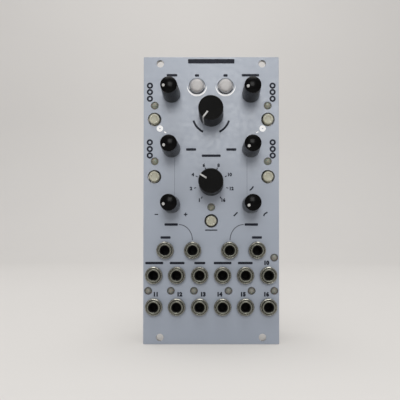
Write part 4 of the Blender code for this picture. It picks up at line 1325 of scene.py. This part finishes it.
def bushing_mesh():
    """Threaded tube with a chamfered mouth. Nine shallow grooves stand for its thread."""
    mouth = (MOUTH_RADIUS, BUSHING_PROUD - MOUTH_BREAK)
    inside = BORE_RADIUS + BUSHING_WALL
    outline = [mouth, (MOUTH_RADIUS + MOUTH_BREAK, BUSHING_PROUD)]
    outline += [(BUSHING_RADIUS - BUSHING_BREAK, BUSHING_PROUD)]
    for groove in range(THREAD_GROOVES):
        crest = BUSHING_PROUD - BUSHING_BREAK - THREAD_PITCH * groove
        outline += [(BUSHING_RADIUS, crest), (BUSHING_RADIUS - THREAD_DEPTH, crest - THREAD_PITCH / 2)]
    outline += [
        (BUSHING_RADIUS, THREAD_END), (BUSHING_RADIUS, BUSHING_REAR), (inside, BUSHING_REAR),
        (inside, BUSHING_PROUD - BORE_THROAT), mouth,
    ]
    return turned("bushing", outline, sides=56, rounding=0.00004)


def bore_mesh():
    """Black lining of the bore, open at the front and closed behind the plug's reach."""
    wall, floor = BORE_WALL
    lip, turn, foot = [BUSHING_PROUD - depth for depth in LINING_DEPTHS]
    mouth = MOUTH_RADIUS - LINING_GAP
    return turned("bore", [
        (mouth, lip), (BORE_RADIUS, BUSHING_PROUD - BORE_THROAT), (BORE_RADIUS, BORE_END),
        (0, BORE_END), (0, BORE_END - floor), (BORE_RADIUS + wall, BORE_END - floor),
        (BORE_RADIUS + wall, foot), (mouth, turn), (mouth, lip),
    ], sides=40, rounding=0.00005)


# %% [markdown]
# Behind the panel each jack is a black moulding on two low feet, with three tin plates on its sides,
# where the contacts inside come out. `centred` and `span` help to write the corners of such boxes:
# the first for a box over the middle, the second for one that lies to one side of it.

# %% Jacks
HOUSING_HALF = (0.0045, 0.00515)
HOUSING_LIFT = 0.0004
HOUSING_FOOT = 0.0006
HOUSING_FOOT_SPAN = (HOUSING_HALF[0] - 0.0018, HOUSING_HALF[0] - 0.0008)
PLATE_SUNK = 0.0001
PLATE_PROUD = 0.00012
PLATE_HALF_WIDTHS = (0.0012, 0.0009, 0.001)
PLATE_FRONTS = (0.0014, 0.0026, 0.002)

# %% Finishes of the jacks
# The nut's paler edges are partly rubbed wear and partly a painted highlight.
nickel = plain_finish(
    "warm_nickel", (0.29, 0.288, 0.256), 0.24, metallic=1.0, drift=0.2, patch=0.0012, grain=0.00018,
    depth=0.000003, worn_and_lit_edge=(0.46, 0.46, 0.41),
)
# A darker copy of the nut's nickel: on the bushing it is painted shade, and the spacers use it too.
dull_nickel = plain_finish(
    "dull_nickel", (0.20, 0.202, 0.172), 0.26, metallic=1.0, drift=0.15, patch=0.0008, grain=0.0002,
    depth=0.000003,
)
black_moulding = plain_finish(
    "black_moulding", (0.006, 0.006, 0.006), 0.5, drift=0.15, patch=0.002, grain=0.0003,
    sockets={"Specular IOR Level": 0.08},
)


# %% Put the jacks together
def centred(half_width, half_height, low, high):
    """The corners of a box over the middle, between two levels."""
    return ((-half_width, -half_height, low), (half_width, half_height, high))


def span(side, near, far):
    """From where to where, to the right of the middle or, where side is -1, to the left."""
    return sorted((side * near, side * far))


def jack_housing_meshes(rear):
    """Moulded body with its feet, and its tin plates: above, below and at the right."""
    half_width, half_height = HOUSING_HALF
    feet = []
    for side in (-1, 1):
        near, far = span(side, *HOUSING_FOOT_SPAN)
        feet.append(((near, -half_height, rear), (far, half_height, rear + HOUSING_FOOT)))
    housing = centred(half_width, half_height, rear + HOUSING_LIFT, JACK_FRONT)
    body = blocks("jack_body", [housing, *feet], edge=0.0003)
    upper, lower, right = PLATE_HALF_WIDTHS
    tops = [JACK_FRONT - shorter for shorter in PLATE_FRONTS]
    above = span(1, half_height - PLATE_SUNK, half_height + PLATE_PROUD)
    below = span(-1, half_height - PLATE_SUNK, half_height + PLATE_PROUD)
    beside = span(1, half_width - PLATE_SUNK, half_width + PLATE_PROUD)
    plates = blocks("jack_contacts", [
        ((-upper, above[0], rear), (upper, above[1], tops[0])),
        ((-lower, below[0], rear), (lower, below[1], tops[1])),
        ((beside[0], -right, rear), (beside[1], right, tops[2])),
    ], edge=0.00005)
    return body, plates


jacks = nodes_named("jack_")
housing_meshes = jack_housing_meshes(rear_level(jacks[0]))
jack = joined("jack", [nut_mesh(), bushing_mesh(), bore_mesh(), *housing_meshes])
jack_finishes = (nickel, dull_nickel, black_moulding, black_moulding, tinned_wire)
set_pieces(jacks, "_socket", jack, jack_finishes, "jack_nickel")

# %% [markdown]
# Behind the panel are the potentiometers: a pressed metal can folded over a moulded body, with tabs
# down its side and a round collar in front. They show only from the sides, so a few well-placed
# blocks with broken edges are enough, as long as the seams and the folded tabs are there.

# %% Potentiometers
POT_HALF = (0.0046, 0.0054)
POT_BODY = 0.0026
POT_SEAM = 0.0031
POT_SEAM_INSET = (0.0004, 0.0003)
POT_FRONT = 0.0064
TAB_SPANS = ((-0.00455, -0.00405), (0.00445, 0.00475))
TAB_COLUMN = 0.0024
TAB_HALF_WIDTH = 0.0009
TAB_START = 0.0008
TAB_END = 0.0004
COLLAR_BREAK = 0.0002
LARGE_COLLAR = (0.00365, 0.00305)
SMALL_COLLAR = (0.0034, 0.0021)
zinc_can = plain_finish(
    "zinc_can", (0.50, 0.50, 0.49), 0.4, metallic=1.0, drift=0.12, patch=0.002, grain=0.0003
)
blue_moulding = plain_finish("blue_moulding", (0.05, 0.085, 0.16), 0.5, drift=0.1, patch=0.002)


def pot_mesh(node, collar, bore):
    """Moulded body with its seam, metal can with tabs, and collar."""
    half_width, half_height = POT_HALF
    inset_width, inset_height = POT_SEAM_INSET
    rear = rear_level(node)
    seam, front, top = rear + POT_SEAM, rear + POT_FRONT, PANEL_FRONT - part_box(node)[0][1]
    body = blocks("pot_body", [
        centred(half_width, half_height, rear, rear + POT_BODY),
        centred(half_width - inset_width, half_height - inset_height, rear + POT_BODY, seam),
    ], edge=0.00025)
    low, high = rear + TAB_START, front - TAB_END
    tabs = [
        ((left, middle - TAB_HALF_WIDTH, low), (right, middle + TAB_HALF_WIDTH, high))
        for left, right in TAB_SPANS for middle in (-TAB_COLUMN, TAB_COLUMN)
    ]
    can = blocks("pot_can", [centred(half_width, half_height, seam, front), *tabs], edge=0.00035)
    foot = front - COLLAR_BREAK
    ring_section = [
        (bore, top), (collar - COLLAR_BREAK, top), (collar, top - COLLAR_BREAK), (collar, foot),
        (bore, foot), (bore, top),
    ]
    return joined("pot", [body, can, turned("pot_collar", ring_section, sides=48, rounding=0.0001)])


large_pots = nodes_named("potentiometer_large_")
small_pots = [node for node in nodes_named("potentiometer_") if node not in large_pots]
for pots, collar_radii in ((large_pots, LARGE_COLLAR), (small_pots, SMALL_COLLAR)):
    pot = pot_mesh(pots[0], *collar_radii)
    set_pieces(pots, "_can", pot, [blue_moulding, zinc_can, zinc_can], "potentiometer_housing")

# %% [markdown]
# Circuit boards are glass-fibre laminate under solder mask. Copper tracks under the mask stand a few
# hundredths of a millimetre proud and look slightly paler. A square-celled Voronoi pattern gives runs
# and corners like tracks. The board's cut edge shows the fibre, so it has its own paler finish.

# %% Board finishes
CELLS_PER_METRE = 320.0
TRACK_SPACING = 0.16
TRACK_EDGE = (0.085, 0.11)
TRACK_HEIGHT = 0.00002
MASK_TONE = (0.007, 0.009, 0.011)
TRACK_TONE = (0.020, 0.026, 0.030)
MASK_PATCH = 0.001
MASK_ROUGHNESS = (0.3, 0.42)


def mask_finish():
    """Black solder mask over tracks."""
    finish, tree, shader = new_finish("black_solder_mask", {"Coat Weight": 0.3, "Coat Roughness": 0.2})
    here = add_node(tree, "ShaderNodeTexCoord").outputs["Object"]
    cells = add_node(
        tree, "ShaderNodeTexVoronoi", {"feature": "F1", "distance": "CHEBYCHEV"},
        {"Vector": here, "Scale": CELLS_PER_METRE, "Randomness": 0.9},
    )
    edge = worked_out(tree, "PINGPONG", cells.outputs["Distance"], TRACK_SPACING)
    track = ranged(tree, edge, 0, 1, *TRACK_EDGE)
    tone = laid_over(tree, track, MASK_TONE, TRACK_TONE)
    gloss = ranged(tree, patches(tree, MASK_PATCH), *MASK_ROUGHNESS)
    connect(tree, shader, tone, gloss, track, TRACK_HEIGHT)
    return finish


solder_mask = mask_finish()
laminate_edge = plain_finish(
    "laminate_edge", (0.26, 0.22, 0.12), 0.7, drift=0.2, patch=0.0006, grain=0.00008, depth=0.00001
)
chip_epoxy = plain_finish(
    "chip_epoxy", (0.016, 0.016, 0.017), 0.55, drift=0.12, patch=0.002, grain=0.00012, depth=0.000006
)
solder = plain_finish("solder", (0.62, 0.62, 0.60), 0.22, metallic=1.0, drift=0.1, patch=0.0006)
gold_flash = plain_finish("gold_flash", (0.78, 0.58, 0.24), 0.25, metallic=1.0, patch=0.0006)
ceramic = plain_finish("ceramic_body", (0.34, 0.25, 0.15), 0.45, drift=0.15, patch=0.0005)
can_metal = plain_finish("capacitor_can", (0.68, 0.68, 0.68), 0.28, metallic=1.0, patch=0.001)

# %% [markdown]
# Both boards are cut from a sheet like the panel, with holes for the spacer screws. In the row frame
# their faces are planes of constant Y, so each sheet is stood up at the depth of its CAD node.

# %% The two boards
BOARD_CORNER = 0.001
BOARD_THICKNESS = 0.0016
BOARD_EDGE = 0.0001
BROAD_SIDE = 0.5
SPACER_HOLE_RADIUS = 0.0018
CONNECTOR_GAP = 0.0003
control_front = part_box("control_board")[1][1] - BOARD_THICKNESS
main_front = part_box("board_connector_left")[1][1] + CONNECTOR_GAP
main_rear = main_front + BOARD_THICKNESS


def make_board(node, front):
    """One laminate sheet at its depth."""
    low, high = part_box(node)
    name = node + "_sheet"
    loops = [rounded_box(place_of(node), high[0] - low[0], high[2] - low[2], BOARD_CORNER)]
    for spacer in nodes_named("board_spacer"):
        loops.append(circle(place_of(spacer), SPACER_HOLE_RADIUS, points=32))
    sheet = cut_from_sheet(name, loops, BOARD_THICKNESS, BOARD_EDGE)
    for face in sheet.polygons:
        face.material_index = 0 if abs(face.normal.z) > BROAD_SIDE else 1
    piece = to_object(name, sheet, solder_mask, laminate_edge)
    piece.location = (0, front + BOARD_THICKNESS / 2, 0)
    piece.rotation_euler = (QUARTER_TURN, 0, 0)
    add_piece(piece, replaces=[node])


make_board("control_board", control_front)
make_board("main_board", main_front)
print("boards at", round(control_front, 4), "and", round(main_front, 4))

# %% [markdown]
# Under every button is a tactile switch: a black box with a metal plate on top, held by four rivets
# and pierced for the plunger. They stand on the control board's front.

# %% Switches
SWITCH_HALF = 0.003
SWITCH_HEIGHT = 0.0035
COVER_SIDE = 0.0058
COVER_THICKNESS = 0.0003
COVER_CORNER = 0.0003
COVER_EDGE = 0.00004
COVER_HOLE_RADIUS = 0.00185
RIVET_REACH = 0.0023
RIVET_RADIUS = 0.0004
RIVET_PROUD = 0.0001


def switch_mesh():
    """Box, cover plate with its hole, and the corner rivets."""
    top = SWITCH_HEIGHT - COVER_THICKNESS
    box = blocks("switch_box", [centred(SWITCH_HALF, SWITCH_HALF, 0, top)], edge=0.0002)
    outline = rounded_box((0, 0), COVER_SIDE, COVER_SIDE, COVER_CORNER)
    hole = circle((0, 0), COVER_HOLE_RADIUS, points=32)
    cover = cut_from_sheet("switch_cover", [outline, hole], COVER_THICKNESS, COVER_EDGE)
    cover.transform(Matrix.Translation((0, 0, SWITCH_HEIGHT - COVER_THICKNESS / 2)))
    corners = [(x * RIVET_REACH, y * RIVET_REACH) for x in (-1, 1) for y in (-1, 1)]
    rivets = posts("rivets", corners, RIVET_RADIUS, top, SWITCH_HEIGHT + RIVET_PROUD, sides=12)
    return joined("switch", [box, cover, rivets])


def make_switches():
    """A switch behind each button."""
    mesh = switch_mesh()
    names = nodes_named("side_button_") + nodes_named("centre_") + nodes_named("large_button_")
    for node in names:
        piece = to_object("switch_" + node, mesh.copy(), black_moulding, zinc_can, black_moulding)
        add_piece(stand_up(piece, place_of(node), PANEL_FRONT - control_front))
    print("switches on the control board:", len(names))


make_switches()

# %% [markdown]
# The main board's rear carries the processor, smaller chips, two capacitors and rows of tiny parts.
# These pieces are drawn as they are seen from behind, and then turned to face +Y. A gull wing leg is
# three little blocks: a shoulder, a drop and a foot.

# %% Chips on the main board
PROCESSOR = {
    "width": 0.0098, "height": 0.0098, "thickness": 0.0014, "legs_up": 16, "legs_across": 16,
    "pitch": 0.0005, "reach": 0.0009,
}
SMALL_CHIP = {
    "width": 0.0039, "height": 0.0050, "thickness": 0.0015, "legs_up": 7, "legs_across": 0,
    "pitch": 0.0007, "reach": 0.0010,
}
SMALL_CHIP_SHARES = ((-0.28, -0.12), (0.28, -0.12), (-0.28, -0.27), (0.28, -0.27), (0.0, -0.33))
CHIP_LIFT = 0.00012
LEG_ROOT = 0.0001
LEG_WIDTH = 0.45
LEG_SPANS = ((0.0, 0.45), (0.4, 0.55), (0.5, 1.0))
SHOULDER_LEVELS = (0.5, 0.62)
DROP_LEVEL = 0.00005
FOOT_LEVELS = (0.00002, 0.00014)


# %% Places and legs
def on_board(across, up):
    """A place on the main board, as shares of its width and height from its middle."""
    low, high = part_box("main_board")
    middle = place_of("main_board")
    return (middle[0] + across * (high[0] - low[0]), middle[1] + up * (high[2] - low[2]))


def face_back(piece, place):
    """Put a piece on the main board's rear face, drawn side away from the panel."""
    piece.location = (place[0], main_rear, place[1])
    piece.rotation_euler = (-QUARTER_TURN, 0, 0)
    return piece


def set_on_board(name, mesh, finishes, shares):
    """A copy of a mesh on the main board's rear face."""
    piece = to_object(name, mesh.copy(), *finishes)
    add_piece(face_back(piece, on_board(*shares)))


def leg_blocks(side, root, along, along_x, width, reach, thickness):
    """Shoulder, drop and foot of one leg, from where it leaves the body."""
    low, top = [thickness * share for share in SHOULDER_LEVELS]
    wide = (along - width / 2, along + width / 2)
    corners = []
    for (start, end), levels in zip(LEG_SPANS, ((low, top), (DROP_LEVEL, top), FOOT_LEVELS)):
        out = span(side, root + start * reach, root + end * reach)
        across, up = (out, wide) if along_x else (wide, out)
        corners.append(tuple(zip(across, up, levels)))
    return corners


# %% Put the chips on
def chip_mesh(width, height, thickness, legs_up, legs_across, pitch, reach):
    """Body, and legs on its sides."""
    body = blocks(
        "chip_body", [centred(width / 2, height / 2, CHIP_LIFT, thickness)], edge=0.00018
    )
    corners = []
    for count, along_x, root in (
        (legs_up, True, width / 2 - LEG_ROOT), (legs_across, False, height / 2 - LEG_ROOT)
    ):
        for number in range(count):
            along = (number - (count - 1) / 2) * pitch
            for side in (-1, 1):
                corners += leg_blocks(side, root, along, along_x, pitch * LEG_WIDTH, reach, thickness)
    return joined("chip", [body, blocks("chip_legs", corners, edge=0.00002)])


processor = to_object("processor_chip", chip_mesh(**PROCESSOR), chip_epoxy, solder)
add_piece(face_back(processor, place_of("processor")), replaces=["processor"])
small_chip = chip_mesh(**SMALL_CHIP)
for number, shares in enumerate(SMALL_CHIP_SHARES, 1):
    set_on_board(f"small_chip_{number}", small_chip, [chip_epoxy, solder], shares)
print("chips:", len(SMALL_CHIP_SHARES) + 1)

# %% [markdown]
# The two electrolytic capacitors are aluminium cans on black bases, with a groove rolled in near the
# foot and a dark segment on top that marks the negative side.

# %% Capacitors
CAN_RADIUS = 0.0031
CAN_TOP = 0.0053
CAN_BREAK = (0.0004, 0.0003)
CAN_FOOT = 0.0010
GROOVE_LEVEL = 0.0019
GROOVE_HALF = 0.0003
CAN_BASE_TOP = 0.0011
MARK_RADIUS = 0.0029
MARK_SPAN = (60, 120)
MARK_THICKNESS = 0.00004
CAPACITORS = {"capacitor_left": (-0.33, 0.27), "capacitor_right": (0.33, 0.27)}


def capacitor_mesh():
    """Base, can with a groove near its foot, and the dark segment."""
    base = blocks("capacitor_base", [centred(CAN_RADIUS, CAN_RADIUS, 0, CAN_BASE_TOP)], edge=0.0004)
    inset, drop = CAN_BREAK
    can = turned("capacitor_can", [
        (0, CAN_TOP), (CAN_RADIUS - inset, CAN_TOP), (CAN_RADIUS, CAN_TOP - drop),
        (CAN_RADIUS, GROOVE_LEVEL + GROOVE_HALF), (CAN_RADIUS - GROOVE_HALF, GROOVE_LEVEL),
        (CAN_RADIUS, GROOVE_LEVEL - GROOVE_HALF), (CAN_RADIUS, CAN_FOOT), (0, CAN_FOOT),
    ], sides=56, rounding=0.0002)
    segment = arc((0, 0), MARK_RADIUS, *MARK_SPAN, steps=10)
    mark = cut_from_sheet("capacitor_mark", [segment], MARK_THICKNESS)
    mark.transform(Matrix.Translation((0, 0, CAN_TOP + MARK_THICKNESS / 2)))
    return joined("capacitor", [base, can, mark])


capacitor = capacitor_mesh()
for name, shares in CAPACITORS.items():
    set_on_board(name, capacitor, [black_moulding, can_metal, black_moulding], shares)
print("capacitors:", len(CAPACITORS))

# %% [markdown]
# Around the chips lie resistors and ceramic capacitors, small blocks with tinned ends, in tidy rows
# that leave room for the processor. All are one mesh. It is drawn in the row frame, and the rear face
# would show it upside down, so it is mirrored first.

# %% Small parts
PART_ROWS = (0.030, 0.036, 0.058, 0.074, 0.080)
PART_COLUMNS = 14
PART_START = -0.0235
PART_PITCH = 0.0036
CLEAR_HALF_WIDTH = 0.0075
CLEAR_HEIGHTS = (0.05, 0.078)
PART_HALF = 0.0008
PART_SIDE = 0.0004
PART_HEIGHTS = (0.00045, 0.0007, 0.0006)
BODY_SHARE = 0.62
END_SHARE = 0.6
END_PROUD = 0.00001


def small_part_places():
    """Places and kinds of the small parts: five rows, with room left round the processor."""
    places = []
    for row, height in enumerate(PART_ROWS):
        beside_processor = CLEAR_HEIGHTS[0] < height < CLEAR_HEIGHTS[1]
        for column in range(PART_COLUMNS):
            across = PART_START + column * PART_PITCH
            if not (beside_processor and abs(across) < CLEAR_HALF_WIDTH):
                places.append((across, PANEL_FOOT + height, (row + column) % len(PART_HEIGHTS)))
    return places


def make_small_parts():
    """Resistors, and two heights of ceramic capacitor, with tinned ends."""
    resistors, ceramics, ends = [], [], []
    for across, up, kind in small_part_places():
        low, high, top = up - PART_SIDE, up + PART_SIDE, PART_HEIGHTS[kind]
        left, right = across - PART_HALF * BODY_SHARE, across + PART_HALF * BODY_SHARE
        bodies = ceramics if kind else resistors
        bodies.append(((left, low, END_PROUD * 2), (right, high, top)))
        for side in (-1, 1):
            near, far = span(side, PART_HALF * END_SHARE, PART_HALF)
            ends.append(((across + near, low, END_PROUD), (across + far, high, top + END_PROUD)))
    names = ("resistors", "ceramics", "tinned_ends")
    meshes = [
        blocks(name, corners, edge=0.00005) for name, corners in zip(names, (resistors, ceramics, ends))
    ]
    piece = to_object("small_parts", joined("small_parts", meshes), chip_epoxy, ceramic, solder)
    face_back(piece, (0, 0))
    piece.data.transform(Matrix.Scale(-1, 4, (0, 1, 0)))
    piece.data.flip_normals()
    add_piece(piece)
    print("small parts:", len(ends) // 2)


make_small_parts()

# %% [markdown]
# The power header is a boxed pin header. Its CAD node has the right walls, key slot and pins, so it
# stays and only gets a better finish. Real pins are gold-flashed and pointed, and we slip a thin gold
# sleeve with a tapered tip over each.

# %% Power header, connectors and spacers
header_plastic = plain_finish(
    "header_plastic", (0.012, 0.012, 0.013), 0.48, drift=0.12, patch=0.002, grain=0.0002,
    worn_and_lit_edge=(0.04, 0.04, 0.04),
)

# %% Header pins
PIN_COLUMNS = 5
PIN_ROWS = 2
PIN_PITCH = 0.00254
PIN_HALF = 0.00034
PIN_START = 0.0066
PIN_END = 0.00155
TIP_INSET = 0.00012
TIP_LENGTH = 0.0004
LOOKS_BACK = 0.9


def refinish(node, finish):
    """Give a kept CAD node a new finish."""
    for slot in frame["nodes"][node].material_slots:
        slot.material = finish


def make_header_pins():
    """Gold pins with tapered tips, from the header's floor to just inside its rim."""
    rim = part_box("power_header")[1][1]
    middle = place_of("power_header")
    bm = bmesh.new()
    for column in range(PIN_COLUMNS):
        for row in range(PIN_ROWS):
            across = middle[0] + (column - (PIN_COLUMNS - 1) / 2) * PIN_PITCH
            up = middle[1] + (row - (PIN_ROWS - 1) / 2) * PIN_PITCH
            made = add_block(
                bm, (across - PIN_HALF, rim - PIN_START, up - PIN_HALF),
                (across + PIN_HALF, rim - PIN_END, up + PIN_HALF),
            )
            end = {face for vert in made for face in vert.link_faces if face.normal.y > LOOKS_BACK}
            bmesh.ops.inset_region(bm, faces=list(end), thickness=TIP_INSET)
            tips = {vert for face in end for vert in face.verts}
            bmesh.ops.translate(bm, verts=list(tips), vec=(0, TIP_LENGTH, 0))
    piece = to_object("header_pins", to_mesh("header_pins", bm), gold_flash)
    add_piece(piece)
    print("header pins:", PIN_COLUMNS * PIN_ROWS)


for name in ("power_header", "board_connector_left", "board_connector_right"):
    refinish(name, header_plastic)
for name in nodes_named("board_spacer"):
    refinish(name, dull_nickel)
make_header_pins()

# %% [markdown]
# The module stands on a plain pale surface that curves up behind it. One swept sheet does both, so no
# line shows where floor meets wall. It is stage, not part of the module. Part of the paper's tone is
# its own light, which the camera and reflections see, but which doesn't light the module.

# %% Floor and backdrop
BACKDROP_DEPTH = 0.95
BACKDROP_CURVE = 0.4
BACKDROP_STEPS = 16
BACKDROP_HEIGHT = 1.2
BACKDROP_HALF_WIDTH = 6.0
FLOOR_FRONT = -1.2
FLOOR_GAP = 0.0001
PAPER_DARK = (0.585, 0.57, 0.55)
PAPER_LIGHT = (0.615, 0.60, 0.58)
PAPER_PATCH = 0.4
PAPER_OWN_TONE = (0.66, 0.64, 0.62)
PAPER_OWN_SHARE = 0.45


def looked_at(tree):
    """One where the camera, a reflection or a see-through piece looks, and zero for other light."""
    seen = add_node(tree, "ShaderNodeLightPath").outputs
    direct = worked_out(tree, "MAXIMUM", seen["Is Camera Ray"], seen["Is Glossy Ray"])
    return worked_out(tree, "MAXIMUM", direct, seen["Is Transmission Ray"])


def paper_finish():
    """Pale paper that stays pale in the module's shade."""
    finish, tree, shader = new_finish("pale_paper", {"Roughness": 0.9, "Specular IOR Level": 0.2})
    tone = toned(tree, patches(tree, PAPER_PATCH), PAPER_DARK, PAPER_LIGHT)
    tree.links.new(tone, shader.inputs["Base Color"])
    glow = add_node(
        tree, "ShaderNodeEmission", inputs={"Color": (*PAPER_OWN_TONE, 1), "Strength": 1.0}
    )
    mixed = add_node(tree, "ShaderNodeMixShader", inputs={
        "Fac": worked_out(tree, "MULTIPLY", looked_at(tree), PAPER_OWN_SHARE),
        1: shader.outputs["BSDF"],
        2: glow.outputs["Emission"],
    })
    tree.links.new(mixed.outputs["Shader"], tree.nodes["Material Output"].inputs["Surface"])
    return finish


def make_backdrop():
    """A floor that sweeps up into a wall."""
    start = BACKDROP_DEPTH - BACKDROP_CURVE
    section = [
        (FLOOR_FRONT, 0.0), *arc((start, BACKDROP_CURVE), BACKDROP_CURVE, 180, 90, BACKDROP_STEPS),
        (BACKDROP_DEPTH, BACKDROP_HEIGHT),
    ]
    bm = bmesh.new()
    rows = [
        [bm.verts.new((side * BACKDROP_HALF_WIDTH, y, PANEL_FOOT - FLOOR_GAP + z)) for side in (-1, 1)]
        for y, z in section
    ]
    for near, far in zip(rows, rows[1:]):
        bm.faces.new((near[0], near[1], far[1], far[0]))
    paper = to_object("backdrop", to_mesh("backdrop", bm), paper_finish())
    print("backdrop:", len(rows), "rows")


make_backdrop()

# %% [markdown]
# The light is soft. A small lamp in front and a little above gives each knob a short shadow just below
# it, a large one overhead lights the floor, a third lights the wall, and the world adds an even grey.
# Seen directly or in a reflection the world has the backdrop's tone, so no side view ends in darkness.

# %% Light
STUDIO_LAMPS = (
    # name, place, what it looks at, side, watts, colour
    ("front", (0.01, -0.45, 0.27), (0, 0, 0.07), 0.2, 0.92, (1.0, 1.0, 0.99)),
    ("over", (0.0, -0.12, 1.30), (0, 0.02, 0), 1.0, 13.2, (1.0, 0.99, 0.97)),
    ("wall", (-0.25, 0.25, 1.00), (-0.1, 0.95, 0.30), 0.8, 1.9, (1.0, 0.975, 0.96)),
)
WORLD_LIGHT = (0.361, 0.361, 0.370)
WORLD_TONE = (0.50, 0.485, 0.47)


def add_lamp(name, place, target, side, watts, colour):
    """A square soft light that looks at a target."""
    data = bpy.data.lights.new(name, "AREA")
    data.size = side
    data.energy = watts
    data.color = colour
    lamp = to_object(name, data)
    lamp.location = place
    lamp.rotation_euler = (Vector(target) - Vector(place)).to_track_quat("-Z", "Y").to_euler()


def light_world():
    """An even grey as light, and the backdrop's tone where something looks past the paper."""
    world = bpy.data.worlds.new("studio")
    bpy.context.scene.world = world
    world.use_nodes = True
    tree = world.node_tree
    tone = laid_over(tree, looked_at(tree), WORLD_LIGHT, WORLD_TONE)
    tree.links.new(tone, tree.nodes["Background"].inputs["Color"])


for studio_lamp in STUDIO_LAMPS:
    add_lamp(*studio_lamp)
light_world()
print("studio lamps:", len(STUDIO_LAMPS))

# %% [markdown]
# The photograph was taken from close by, a little below the middle, with the frame shifted up and to
# the left of where the lens points. A shifted lens keeps the panel's sides almost parallel, which a
# tilted camera would not.

# %% Camera
LENS = 35.05
SENSOR = 36.0
NEAREST_SEEN = 0.01
CAMERA_DISTANCE = 0.17388
CAMERA_TILT = math.radians(0.7026)
CAMERA_SHIFT = (-0.0442, 0.0839)
AIM_ACROSS = 0.00289
AIM_HEIGHT = 0.04926


def make_camera():
    """A camera that looks at the panel almost square on."""
    data = bpy.data.cameras.new("camera")
    data.lens = LENS
    data.sensor_width = SENSOR
    data.shift_x, data.shift_y = CAMERA_SHIFT
    data.clip_start = NEAREST_SEEN
    camera = to_object("camera", data)
    aim = Vector((AIM_ACROSS, PANEL_FRONT, PANEL_FOOT + AIM_HEIGHT))
    forward = Vector((0, math.cos(CAMERA_TILT), math.sin(CAMERA_TILT)))
    camera.location = aim - forward * CAMERA_DISTANCE
    camera.rotation_euler = (QUARTER_TURN + CAMERA_TILT, 0, 0)
    bpy.context.scene.camera = camera
    print("camera at", [round(part, 4) for part in camera.location])


make_camera()
bpy.context.scene.view_settings.view_transform = "Standard"

# %% [markdown]
# Last, the view layer is brought up to date.

# %% Bring the view layer up to date
bpy.context.view_layer.update()
